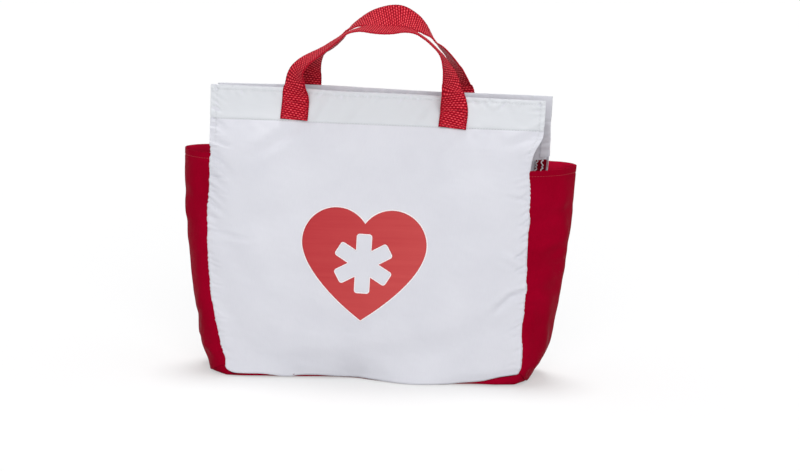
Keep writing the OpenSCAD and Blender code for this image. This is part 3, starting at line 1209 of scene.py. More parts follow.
            side = "left" if (way > 0) == (self.facing is Facing.FRONT) else "right"
            columns = [0, 0.06, 0.14, 0.4, 0.7, 1.0]
            size = (self.edge_hem, 24)
            strip = Sheet(f"{self.name}_{side}_side_hem", columns, shares(24), place, size)
            strip.thicken(0.4, self.finishes.white)
            made.append(strip.piece)
        return made

    def stitches(self) -> bpy.types.Object:
        """Makes the stitch lines of the mouth's hem and side edges."""
        bm = bmesh.new()
        top, side = (self.up_share(d) for d in (self.hem, self.top_stitch)), self.side_stitch / self.FLAT[0]
        lines = [[(mix(0.017, 0.983, k / 240), v) for k in range(241)] for v in top]
        up = [mix(self.FOLD_SHARE + 0.002, 0.985, k / 60) for k in range(61)]
        lines += [[(u, v) for v in up] for u in (side, 1 - side)]
        outward = Vector((0, self.facing.value, 0.25))
        for line in lines:
            Stitching().sew(bm, [self.sheet.at(u, v, 0.1) for u, v in line], lambda p: outward)
        return publish(bm, f"{self.name}_mouth_stitches", self.finishes.white_thread)

    def dress(self, pieces: list[bpy.types.Object]) -> None:
        """Fixes the inner band to the mouth, bakes the wall, its side hems and its stitches in place, and
        hides the CAD nodes they stand for.

        Args:
            pieces: What build made.
        """
        cloth, band, *strips, stitches = pieces
        name = self.name
        both = ("bag", f"{name}_mouth")
        attach(cloth, both, "white_cloth", f"{name}_panel", f"{name}_mouth_panel")
        attach(band, f"{name}_mouth", "white_cloth", f"{name}_mouth_hem")
        for strip in strips:
            side = "left" if "left" in strip.name else "right"
            attach(strip, both, "white_cloth", f"{name}_{side}_edge_hem")
        attach(stitches, both, "white_cloth")
        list(strips)


@dataclass
class Gusset(Part):
    """One red end wall that bulges out between the two white walls.

    Its bulge is given by height. Each crease holds the share across and the height of its two
    ends, its width and its height.
    """

    name: str
    side: Side
    first: Post
    last: Post
    bulge: Curve
    point_of: float
    creases: tuple[tuple[float, float, float, float, float, float], ...]
    finishes: Finishes
    hem: float = 10.0
    sewn: float = 5.2
    cloth: float = 0.45
    sheet: Sheet = field(init=False)

    FLAT = (110, 205)
    SPAN = 105
    NEAR_RIM = (0.0, 0.5, 1.2, 2.4, 3.6, 4.3, 4.8, 5.2, 5.6, 6.2, 7.4, 8.7, 10.0)

    def place(self, u: float, v: float) -> Vector:
        """Gives a point of the gusset before its cloth settles.

        Args:
            u: Share across, from the first post to the last.
            v: Share up.

        Returns:
            The point in millimetres.
        """
        turn = mix(-90, 90, u)
        sine, cosine = math.sin(math.radians(turn)), math.cos(math.radians(turn))
        foot = 1.0 + (mix(self.first.foot, self.last.foot, u) - 1.0) * abs(sine) ** 5
        rim = mix(self.first.rim, self.last.rim, u) + 0.9 * cosine
        z = mix(foot, rim, v)
        power = mix(1.9, self.point_of, clamp((z - 30) / 120))
        wide = abs(cosine) ** (2 / power)
        share = (math.copysign(abs(sine) ** (2 / power), sine) + 1) / 2
        start, end = self.first.at(z, 0.9), self.last.at(z, 0.9)
        x = mix(start.x, end.x, share) + self.side.value * self.bulge.at(z) * wide
        x -= self.side.value * 1.4 * abs(sine) ** 30
        return Vector((x, mix(start.y, end.y, share), z))

    def relief(self) -> None:
        """Adds puckers along the seams, the hem's dent and broad soft facets to the settled cloth."""
        out = self.sheet.normals()
        z = self.sheet.points[..., 2]
        u, v = np.meshgrid(self.sheet.columns, self.sheet.rows)
        edge = np.minimum(u, 1 - u)
        seed = 5.0 + self.side.value
        pull = z / 10.5 + 4 * edge + 0.4 * rumple(z / 30, u * 3, seed)
        lift = 0.3 * np.sin(2 * np.pi * pull) * hump(edge, 0.05, 0.05)
        fine = z / 4.6 + 0.5 * rumple(z / 17, u * 5, seed + 1)
        lift += 0.3 * np.sin(2 * np.pi * fine) * hump(edge, 0.02, 0.025)
        lift += 0.3 * rumple(u * 3.1, z / 34, seed + 2) * np.clip(edge * 12, 0, 1)
        lift += 0.15 * rumple(u * 7, z / 15, seed + 3)
        flank, wide = 1 - 0.85 * hump(u, 0.5, 0.12), self.SPAN
        for u0, z0, u1, z1, width, height in self.creases:
            crease = Crease((u0 * wide, z0), (u1 * wide, z1), width, height)
            lift += flank * crease.lift(u * wide, z)
        rim = u * self.last.rim + (1 - u) * self.first.rim
        lift -= 0.45 * hump(rim - z, self.sewn, 0.8)
        self.sheet.points += out * (lift * np.clip(v * 14, 0, 1))[..., None]
        self.sheet.write()

    def build(self) -> list[bpy.types.Object]:
        """Makes the gusset, the hem inside its rim and its stitching.

        Returns:
            The pieces, the gusset itself first.
        """
        tall = self.first.rim - 10

        def held(u: float, v: float) -> float:
            """Says how firmly the seams and the rim hold a point, from 0 to 1."""
            firm = 1.0 if min(u, 1 - u) < 0.01 or v < 0.004 else 0.0
            return max(firm, 0.35 * bell((1 - v) / 0.05), 0.04)

        columns = mirrored([0.0, 0.004, 0.009, *(0.009 + 0.0104 * k for k in range(1, 10))], 64)
        under = 1 - self.NEAR_RIM[-1] / tall
        rows = sorted({*(1 - d / tall for d in self.NEAR_RIM), *(under * (k / 118) for k in range(118))})
        coarse, fine = (shares(44, 0.2), shares(58)), (columns, rows)
        draft = Sheet(f"{self.name}_gusset_draft", *coarse, self.place, self.FLAT)
        seed = 11.0 + self.side.value
        moved = Settler(seed=seed, spare=0.02, bending=0.9, roam=1.0, share=0.45).settle(draft, held)
        self.sheet = Sheet(f"{self.name}_gusset_cloth", *fine, self.place, self.FLAT)
        calm = (1 - 0.6 * hump(np.array(columns), 0.5, 0.16))[None, :, None]
        self.sheet.points += soften(refine(moved, coarse, fine), 4) * calm
        self.relief()
        self.sheet.freeze()
        self.sheet.thicken(self.cloth, self.finishes.red, 0)

        def tuck(u: float, v: float) -> Vector:
            """Gives a point of the rim's hem, close behind the gusset's cloth."""
            down = v * self.hem
            drop = -0.25 - 0.55 * min(1.0, down / 1.4)
            return self.sheet.at(mix(0.01, 0.99, u), 1 - max(down - 0.3, 0) / tall, drop)

        rows, size = [0, 0.05, 0.14, 0.35, 0.6, 0.8, 1.0], (self.FLAT[0], self.hem)
        hem = Sheet(f"{self.name}_gusset_rim_hem", shares(90), rows, tuck, size)
        # The rim hem takes the red finish's second tone: painted light on the inner face of the rim.
        hem.tint("doubled_and_painted_light", np.ones(hem.order.shape))
        hem.thicken(0.4, self.finishes.red)
        return [self.sheet.piece, hem.piece, self.stitches(1 - self.sewn / tall)]

    def stitches(self, v: float) -> bpy.types.Object:
        """Makes the stitch line of the rim's hem at a share up the gusset."""
        bm = bmesh.new()
        line = [self.sheet.at(mix(0.02, 0.98, k / 120), v, 0.08) for k in range(121)]
        middle = mix(self.first.x.at(200), self.last.x.at(200), 0.5)
        sewing = Stitching(width=0.5, height=0.32)
        sewing.sew(bm, line, lambda p: Vector((p.x - middle, p.y, 0)).normalized())
        return publish(bm, f"{self.name}_gusset_stitches", self.finishes.red_thread)

    def dress(self, pieces: list[bpy.types.Object]) -> None:
        """Fixes the gusset, its hem and its stitches to the bag.

        Args:
            pieces: What build made.
        """
        cloth, hem, stitches = pieces
        attach(cloth, "bag", "red_cloth", f"{self.name}_gusset")
        attach(hem, "bag", "red_cloth", f"{self.name}_gusset_hem")
        attach(stitches, "bag", "red_thread")


@dataclass
class Bottom(Part):
    """The red bottom, a shallow tray between the walls and the gussets."""

    front: Wall
    back: Wall
    left: Gusset
    right: Gusset
    finishes: Finishes
    reach: float = 11.0
    steep: float = 5.0
    roll: float = 17.0
    sheet: Sheet = field(init=False)

    def place(self, u: float, v: float) -> Vector:
        """Gives a point of the bottom.

        Args:
            u: Share from left to right.
            v: Share from back to front.

        Returns:
            The point in millimetres.
        """
        left, right = self.left.place(v, 0), self.right.place(1 - v, 0)
        front = self.front.point(mix(0.012, 0.988, u), 0.0)
        back = self.back.point(mix(0.988, 0.012, u), 0.0)
        inner = min(1.0, min(u, 1 - u) / 0.09)
        x = mix(left.x, right.x, u)
        between = mix(back.y - 1.0, front.y + 1.0, (1 - math.cos(math.pi * v)) / 2)
        y = mix(mix(left.y, right.y, u), between, inner * inner * (3 - 2 * inner))
        to_front, to_back = abs(y - front.y), abs(back.y - y)
        to_left, to_right = abs(x - left.x), abs(right.x - x)
        edge_y = (front.z if to_front < to_back else back.z) + 0.4
        edge_x = left.z if to_left < to_right else right.z
        lip = max(0.0, 1 - max(0.0, min(to_front, to_back) - 1.0) / self.steep)
        rise_y = max(0.0, edge_y) * lip**2
        y += (1 if v < 0.5 else -1) * self.roll * min(1.0, edge_y / 6) * lip * (1 - lip) * inner
        rise_x = max(0.0, edge_x) * max(0.0, 1 - min(to_left, to_right) / self.reach) ** 2
        tuck = max(0.0, 1 - min(u, 1 - u) / 0.004)
        x += (1 if u < 0.5 else -1) * 0.5 * tuck
        return Vector((x, y, max(rise_y, rise_x) + 2.0 * tuck))

    def build(self) -> list[bpy.types.Object]:
        """Makes the bottom cloth and the two allowances sewn to the walls.

        Returns:
            The pieces, the bottom itself first.
        """
        columns, rows = shares(110, 0.4, (0.004, 0.996)), shares(48, 0.3)
        self.sheet = Sheet("bottom_cloth", columns, rows, self.place, (290, 80))
        x, y, high = np.moveaxis(self.sheet.points, 2, 0)
        flat = np.clip(1 - high / 3, 0, 1)
        self.sheet.points[..., 2] += flat * np.clip(rumple(x / 60, y / 50, 1.0), 0, 1) * 0.8
        self.sheet.write()
        self.sheet.freeze()
        self.sheet.thicken(0.5, self.finishes.red)
        return [self.sheet.piece, *self.allowance("front", 1.0), *self.allowance("back", 0.0)]

    def allowance(self, name: str, first: float) -> list[bpy.types.Object]:
        """Makes the overlocked allowance along one long seam.

        Args:
            name: The seam's name.
            first: The seam's share from back to front.

        Returns:
            The strip and the thread that binds it.
        """

        def row(inset: float) -> float:
            """Returns the share from back to front at an inset from the seam."""
            return first - inset if first else inset

        def strip(u: float, v: float) -> Vector:
            """Gives a point of the strip, above the bottom's cloth."""
            return self.sheet.at(mix(0.08, 0.92, u), row((1 - v) * 0.12), -0.95 - 0.3 * v)

        def wave(t: float) -> Vector:
            """Gives a point of the binding thread."""
            swing = 0.5 + 0.3 * math.sin(t * 2 * math.pi * 44)
            return self.sheet.at(mix(0.082, 0.918, t), row((1 - swing) * 0.1), -1.75)

        allowance = Sheet(f"{name}_base_allowance", shares(70), shares(5), strip, (230, 9))
        allowance.thicken(0.45, self.finishes.lining, 0)
        bm = bmesh.new()
        thread_line(bm, wave, 400, 0.3)
        return [allowance.piece, publish(bm, f"{name}_base_overlock", self.finishes.white_thread)]

    def dress(self, pieces: list[bpy.types.Object]) -> None:
        """Fixes the bottom and its allowances to the bag.

        Args:
            pieces: What build made.
        """
        cloth, *strips = pieces
        attach(cloth, "bag", "red_cloth", "bottom_panel")
        for name, allowance, thread in (("front", *strips[:2]), ("back", *strips[2:])):
            attach(allowance, "bag", "seam_cloth", f"{name}_base_seam")
            attach(thread, "bag", "seam_cloth")
        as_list(strips)


@dataclass
class Allowance(Part):
    """An overlocked seam allowance inside an upright seam."""

    name: str
    wall: Wall
    at_end: bool
    finishes: Finishes
    width: float = 10.5
    top: float = 0.752
    span: float = 298.0

    def across(self, share: float) -> float:
        """Returns the share across the wall at a share of the strip's width from the seam."""
        inset = 0.004 + share * self.width / self.span
        return 1 - inset if self.at_end else inset

    def place(self, u: float, v: float) -> Vector:
        """Gives a point of the strip, which bends away from the wall.

        Args:
            u: Share across.
            v: Share up.

        Returns:
            The point in millimetres.
        """
        share = 1 - u if self.at_end else u
        wave = 0.5 * math.sin(v * 60 + 1.3) * share
        lift = -1.2 - 0.35 * abs(wave) - 1.5 * share
        return self.wall.sheet.at(self.across(share), mix(0.05, self.top, v), lift)

    def build(self) -> list[bpy.types.Object]:
        """Makes the strip and the two wavy threads that bind it.

        Returns:
            The strip, then the threads as one piece.
        """
        size = (self.width, 195)
        strip = Sheet(f"{self.name}_allowance", shares(6), shares(70), self.place, size)
        strip.thicken(0.5, self.finishes.lining, 0)
        bm = bmesh.new()
        for middle in (0.36, 0.9):

            def wave(t: float, middle: float = middle) -> Vector:
                """Gives a point of the thread, which swings about its middle line."""
                swing = middle + 0.075 * math.sin(t * 2 * math.pi * 46) + 0.03 * math.sin(t * 91)
                up = mix(0.052, self.top, t)
                return self.wall.sheet.at(self.across(swing), up, -2.25 - 1.5 * swing)

            thread_line(bm, wave, 480, 0.6)
        return [strip.piece, publish(bm, f"{self.name}_overlock", self.finishes.white_thread)]

    def dress(self, pieces: list[bpy.types.Object]) -> None:
        """Fixes the strip and its threads to the bag."""
        strip, threads = pieces
        attach(strip, "bag", "seam_cloth", f"{self.name}_seam")
        attach(threads, "bag", "seam_cloth")


# ---------------------------------------------------------------- print


def ray_reach(line: list[Vector], aim: Vector) -> float:
    """Finds how far an outline lies from the origin along a ray.

    Args:
        line: The closed outline.
        aim: The ray's direction.

    Returns:
        The distance to the farthest crossing, or 0 if there is none.
    """
    far = 0.0
    for a, b in zip(line, line[1:] + line[:1]):
        side = b - a
        down = aim.x * side.y - aim.y * side.x
        if abs(down) < 1e-9:
            continue
        t = (a.x * side.y - a.y * side.x) / down
        s = (a.x * aim.y - a.y * aim.x) / down
        if t > 0 and -1e-6 <= s <= 1 + 1e-6:
            far = max(far, t)
    return far


def grown(line: list[Vector], by: float) -> list[Vector]:
    """Moves a closed outline outward.

    Args:
        line: The outline.
        by: Millimetres; negative is inward.

    Returns:
        The moved outline.
    """
    moved = []
    for k, p in enumerate(line):
        way = (line[(k + 1) % len(line)] - line[k - 1]).normalized()
        moved.append(p + Vector((way.y, -way.x)) * by)
    return moved


@dataclass
class HeartPrint(Part):
    """The printed heart with a six-armed star left open in it."""

    wall: Wall
    finishes: Finishes
    width: float = 114.5
    height: float = 103.0
    lobe: float = 31.5
    tip_angle: float = 54.0
    tip: tuple[float, float] = (-3.4, 57.0)
    star_rise: float = 53.0
    arm: float = 27.2
    arm_width: float = 13.9
    arm_round: float = 2.6
    lean: float = 1.6
    lift: float = 0.16

    def heart_line(self, count: int = 480) -> list[Vector]:
        """Lists the heart's outline round from the notch, as X and Z from its tip.

        Args:
            count: Number of points.

        Returns:
            The points in millimetres.
        """
        lobe_x, lobe_z = self.width / 2 - self.lobe, self.height - self.lobe
        notch = 180 - math.degrees(math.acos(lobe_x / self.lobe))
        low, tan = 15.0, math.tan(math.radians(self.tip_angle))
        sine, cosine = math.sin(math.radians(low)), math.cos(math.radians(low))

        def lobe_point(turn: float) -> Vector:
            """Returns the point of the right lobe's circle at a turn in degrees."""
            a = math.radians(turn)
            return Vector((lobe_x + self.lobe * math.cos(a), lobe_z + self.lobe * math.sin(a)))

        top = lobe_point(-low)
        run = (top.y - top.x / tan) / (cosine - sine / tan)
        bow = top - run * Vector((sine, cosine))
        half = []
        for k in range(count // 2 + 1):
            t = k / (count // 2)
            if t < 0.6:
                half.append(lobe_point(mix(notch, -low, t / 0.6)))
            else:
                s = (t - 0.6) / 0.4
                half.append(top * (1 - s) ** 2 + bow * 2 * s * (1 - s))
        return half + [Vector((-p.x, p.y)) for p in reversed(half[1:-1])]

    def star_line(self) -> list[Vector]:
        """Lists the star's outline, as X and Z from its centre."""
        line = []
        half, inner = self.arm_width / 2, self.arm_width / 2 / math.tan(math.radians(30))
        end = self.arm - self.arm_round
        stops = (0, 0.12, 0.3, 0.5, 0.7, 0.88)
        for k in range(6):
            turn = Matrix.Rotation(math.radians(60 * k), 2)
            arm = [Vector((inner + (end - inner) * t, -half)) for t in stops]
            for sign in (-1, 1):
                centre = Vector((end, sign * (half - self.arm_round)))
                for s in range(7):
                    a = math.radians(mix(-90, 0, s / 6) if sign < 0 else mix(0, 90, s / 6))
                    arm.append(centre + self.arm_round * Vector((math.cos(a), math.sin(a))))
                if sign < 0:
                    arm += [Vector((self.arm, y)) for y in (-half * 0.35, 0.0, half * 0.35)]
            arm += [Vector((inner + (end - inner) * t, half)) for t in reversed(stops[1:])]
            line += [turn @ p for p in arm]
        return line

    def on_cloth(self, p: Vector, tree: BVHTree, lift: float) -> Vector:
        """Puts a point of the print's plane on the cloth.

        Args:
            p: X and Z in millimetres, measured from the heart's tip.
            tree: The wall's finished surface, in metres.
            lift: Millimetres off the cloth.

        Returns:
            The point in millimetres.
        """
        centre = Vector((0, self.star_rise))
        leaned = centre + Matrix.Rotation(-math.radians(self.lean), 2) @ (p - centre)
        x, z = self.tip[0] + leaned.x, self.tip[1] + leaned.y
        hit, normal, _, _ = tree.ray_cast(Vector((x * MM, -0.2, z * MM)), Vector((0, 1, 0)))
        return hit / MM + normal * lift

    def band(
        self,
        name: str,
        inner: list[Vector],
        outer: list[Vector],
        rings: int,
        lift: float,
        tree: BVHTree,
        finish: bpy.types.Material,
    ) -> bpy.types.Object:
        """Makes a closed band of ink between two outlines with as many points.

        Args:
            name: The piece's name.
            inner: The inner outline.
            outer: The outer outline.
            rings: Rows of faces between them.
            lift: Millimetres off the cloth.
            tree: The wall's finished surface.
            finish: The ink.

        Returns:
            The new object.
        """
        count = len(inner)
        bm = bmesh.new()
        bmesh.ops.create_grid(bm, x_segments=count, y_segments=rings, size=1.0)
        for vert in bm.verts:
            k = round((vert.co.x + 1) / 2 * count) % count
            t = (vert.co.y + 1) / 2
            vert.co = self.on_cloth(inner[k].lerp(outer[k], t), tree, lift) * MM
        bmesh.ops.remove_doubles(bm, verts=bm.verts, dist=0.000002)
        piece = publish(bm, name, finish)
        bm = bmesh.new()
        bm.from_mesh(piece.data)
        if sum(face.normal.y for face in bm.faces) > 0:
            bmesh.ops.reverse_faces(bm, faces=bm.faces)
        bm.to_mesh(piece.data)
        bm.free()
        solid = piece.modifiers.new("ink", "SOLIDIFY")
        solid.thickness, solid.offset = 0.1 * MM, -1.0
        return piece

    def build(self) -> list[bpy.types.Object]:
        """Makes the red print and its thin pale border.

        Returns:
            The two pieces, the red print first.
        """
        wall = self.wall.sheet.piece.evaluated_get(bpy.context.evaluated_depsgraph_get()).to_mesh()
        tree = BVHTree.FromPolygons([v.co for v in wall.vertices], [p.vertices for p in wall.polygons])
        centre = Vector((0, self.star_rise))
        heart = self.heart_line()
        star = [Matrix.Rotation(math.radians(90), 2) @ p for p in self.star_line()]

        from_centre = [p - centre for p in heart]
        extra = [from_centre[0], from_centre[len(heart) // 2]]
        aims = sorted((math.atan2(p.y, p.x) for p in [*star, *extra, *from_centre[::6]]))
        aims = [a for k, a in enumerate(aims) if k == 0 or a - aims[k - 1] > 0.002]
        ways = [Vector((math.cos(a), math.sin(a))) for a in aims]
        inner = [centre + w * ray_reach(star, w) for w in ways]
        outer = [centre + w * ray_reach(from_centre, w) for w in ways]
        ink, pale, over = self.finishes.ink, self.finishes.border, self.lift + 0.04
        rim, star_rim = (grown(outer, -0.15), grown(outer, 0.95)), (grown(inner, -0.7), grown(inner, 0.15))
        return [
            self.band("heart_ink", inner, outer, 22, self.lift, tree, ink),
            self.band("heart_ink_border", *rim, 1, over, tree, pale),
            self.band("star_ink_border", *star_rim, 1, over, tree, pale),
        ]

    def dress(self, pieces: list[bpy.types.Object]) -> None:
        """Fixes the print and its borders to the bag."""
        ink, *borders = pieces
        attach(ink, "bag", "print_ink", "heart_print")
        for border in borders:
            attach(border, "bag", "print_ink")


# ---------------------------------------------------------------- handles


@dataclass
class Handle(Part):
    """One length of webbing: sewn to the mouth at both ends and standing up as a loop.

    Each stop of the route is an X and Z, the distance of the webbing's middle from the bag's
    middle plane, and the turn of its inner edge, which is positive towards the outside.
    """

    name: str
    wall: Wall
    stops: tuple[tuple[float, float, float, float], ...]
    finishes: Finishes
    width: float = 25.0
    thickness: float = 1.5
    crest: float = 264.0
    rings: int = 880
    pitch: float = 2.1
    box_inset: float = 2.5
    box_low: float = 2.2
    box_high: float = 16.5

    def middle(self, x: float, z: float, off: float, turn: float) -> Vector:
        """Gives the webbing's middle at a stop, laid on the wall where it is sewn to it.

        Args:
            x: The stop's X.
            z: Its Z.
            off: Its distance from the bag's middle plane, above the mouth's edge.
            turn: The turn of the webbing's inner edge, in degrees.

        Returns:
            The point in millimetres.
        """
        face = self.wall.facing.value
        swing = abs(math.sin(math.radians(turn))) * self.width / 2 * 0.9
        if z > self.crest:
            clear = max(0.0, 1 - max(0.0, z - self.crest - 2) / 18) * swing
            return Vector((x, face * max(off, DEPTH[self.wall.facing].at(self.crest) + 1.25 + clear), z))
        spot = self.wall.sheet.at(*self.wall.shares_at(x, z), self.thickness / 2 + 0.5)
        spot.y += face * swing
        return spot

    def route(self) -> tuple[np.ndarray, np.ndarray, np.ndarray, float]:
        """Returns evenly spaced middles, width directions and face directions, and the length."""
        knots = np.array([[*self.middle(*stop), stop[3]] for stop in self.stops])
        run = np.concatenate([[0], np.cumsum(np.linalg.norm(np.diff(knots[:, :3], axis=0), axis=1))])
        curves = [Curve(tuple(zip(run.tolist(), knots[:, k].tolist()))) for k in range(4)]
        fine = np.array([[c.at(t) for c in curves] for t in np.linspace(0, run[-1], 1500)])
        kernel = np.exp(-((np.arange(-22, 23) / 11.0) ** 2))
        kernel /= kernel.sum()
        padded = np.pad(fine, ((22, 22), (0, 0)), "reflect", reflect_type="odd")
        fine = np.stack([np.convolve(padded[:, k], kernel, "valid") for k in range(4)], 1)
        run = np.concatenate([[0], np.cumsum(np.linalg.norm(np.diff(fine[:, :3], axis=0), axis=1))])
        even = np.linspace(0, run[-1], self.rings + 1)
        spots = np.stack([np.interp(even, run, fine[:, k]) for k in range(3)], 1)
        angle = np.radians(np.interp(even, run, fine[:, 3]))[:, None]
        way = np.gradient(spots, axis=0)
        way /= np.linalg.norm(way, axis=1, keepdims=True)
        inner = np.cross(np.array([0.0, 1.0, 0.0]), way)
        inner /= np.linalg.norm(inner, axis=1, keepdims=True)
        aside = np.cross(way, inner)
        aside *= np.sign(aside[:, 1:2]) * self.wall.facing.value
        wide = inner * np.cos(angle) + aside * np.sin(angle)
        facing = np.cross(wide, way)
        facing /= np.linalg.norm(facing, axis=1, keepdims=True)
        return spots, wide, facing, float(run[-1])

    def section(self) -> list[tuple[float, float, float]]:
        """Lists the webbing's cross-section: width, height and outward sign, round one turn."""
        half, thick, cells = self.width / 2, self.thickness / 2, 43
        across = [mix(-half + 0.4, half - 0.4, k / cells) for k in range(cells + 1)]
        edge = [(half - 0.05, thick * 0.55), (half + 0.1, 0.0), (half - 0.05, -thick * 0.55)]
        ring = [(w, thick, 1.0) for w in across]
        ring += [(w, h, 0.0) for w, h in edge]
        ring += [(w, -thick, -1.0) for w in reversed(across)]
        ring += [(-w, -h, 0.0) for w, h in edge]
        return ring

    def build(self) -> list[bpy.types.Object]:
        """Makes the webbing and the box stitching at its ends.

        Returns:
            The two pieces, the webbing first.
        """
        spots, wide, facing, length = self.route()
        ring = self.section()
        count = len(ring)
        bm = bmesh.new()
        bmesh.ops.create_grid(bm, x_segments=count, y_segments=self.rings, size=1.0)
        weave = bm.loops.layers.uv.new("Cloth")
        rib_layer = bm.verts.layers.float.new("rib")
        spot = {}
        bm.verts.index_update()
        for vert in bm.verts:
            i = round((vert.co.x + 1) / 2 * count)
            j = round((vert.co.y + 1) / 2 * self.rings)
            w, h, sign = ring[i % count]
            along = j / self.rings * length
            spot[vert.index] = (w, along)
            # The stored rib value paints the finish's highlight and shade; the thin edges and the weave under
            # the box stitches get darker values, painted shade.
            rib = self.rib(w, along) if sign else 0.35
            pull = self.pull(w, min(along, length - along))
            vert[rib_layer] = rib * (0.55 + 0.45 * pull)
            lift = h + sign * (0.3 * rib - 0.15) * pull
            if sign == 0:
                tooth = 0.22 * (0.5 + 0.5 * math.cos(2 * math.pi * along / self.pitch))
                w += math.copysign(tooth, w)
            vert.co = Vector(spots[j] + wide[j] * w + facing[j] * lift) * MM
        for face in bm.faces:
            for loop in face.loops:
                w, along = spot[loop.vert.index]
                loop[weave].uv = (w * MM, along * MM)
        bmesh.ops.remove_doubles(bm, verts=bm.verts, dist=0.000001)
        bmesh.ops.holes_fill(bm, edges=[e for e in bm.edges if e.is_boundary], sides=0)
        bmesh.ops.recalc_face_normals(bm, faces=bm.faces)
        webbing = publish(bm, f"{self.name}_webbing", self.finishes.webbing)
        return [webbing, self.stitching(spots, wide, facing, length)]

    def pull(self, w: float, sewn: float) -> float:
        """Returns how much of the weave's height is left under the box stitches, given places."""
        high = self.box_high
        on_side = abs(abs(w) - (self.width / 2 - self.box_inset)) < 0.8
        return 0.4 if 1.5 < sewn < high + 1.5 and (on_side or abs(sewn - high) < 0.8) else 1.0

    def rib(self, w: float, along: float) -> float:
        """Gives the height of the weave's staggered floats.

        Args:
            w: Millimetres from the webbing's middle line.
            along: Millimetres from its start.

        Returns:
            The height, from 0 to 1.
        """
        lay = along / self.pitch + w / 15
        row = 0.5 + 0.5 * math.cos(2 * math.pi * lay)
        dot = 0.5 + 0.5 * math.cos(2 * math.pi * w / 3.4 + math.pi * round(lay))
        uneven = 0.12 * math.sin(along * 0.9 + 1.7 * math.sin(w * 0.8)) * math.sin(w * 1.3)
        # The weave sinks towards each edge, and the finish paints it darker there: painted shade.
        edge_sink_and_shade = 0.45 * max(0.0, abs(w) - self.width / 2 + 1.4)
        return clamp(0.36 * row + 0.64 * row * dot + uneven - edge_sink_and_shade)

    def stitching(
        self, spots: np.ndarray, wide: np.ndarray, facing: np.ndarray, length: float
    ) -> bpy.types.Object:
        """Makes a sewn box on each end of the webbing.

        Args:
            spots: The webbing's middles.
            wide: Its width directions.
            facing: Its face directions.
            length: Its length.

        Returns:
            The piece with all the stitches.
        """
        bm = bmesh.new()
        face = self.wall.facing.value
        half, low, high = self.width / 2 - self.box_inset, self.box_low, self.box_high
        sewing = Stitching(pitch=2.3, length=1.9, width=0.65, height=0.55)
        corners = [(-half, low), (half, low), (half, high), (-half, high), (-half, low)]
        outward = Vector((0, face, 0.3))
        for flip in (False, True):

            def at(w: float, along: float, flip: bool = flip) -> Vector:
                """Gives the point on the webbing's outer face at a distance from its end."""
                run = length - along if flip else along
                j = min(int(run / length * self.rings), self.rings - 1)
                t = run / length * self.rings - j
                side = 1.0 if facing[j][1] * face > 0 else -1.0
                lift = facing[j] * side * (self.thickness / 2 + 0.12)
                return Vector(spots[j] * (1 - t) + spots[j + 1] * t + wide[j] * w + lift)

            for (w0, a0), (w1, a1) in zip(corners, corners[1:]):
                line = [at(mix(w0, w1, k / 12), mix(a0, a1, k / 12)) for k in range(13)]
                sewing.sew(bm, line, lambda p: outward)
        return publish(bm, f"{self.name}_box_stitches", self.finishes.red_thread)

    def dress(self, pieces: list[bpy.types.Object]) -> None:
        """Bakes the webbing in place, fixes its stitches to the mouth and hides the CAD nodes they stand for.
        """
        webbing, stitches = pieces
        name = self.name
        both = (f"{name}_mouth", f"{name}_handle_loop")
        attach(webbing, both, "webbing", f"{name}_handle", f"{name}_handle_ends")
        attach(stitches, f"{name}_mouth", "red_thread", f"{name}_handle_stitching")


# ---------------------------------------------------------------- studio


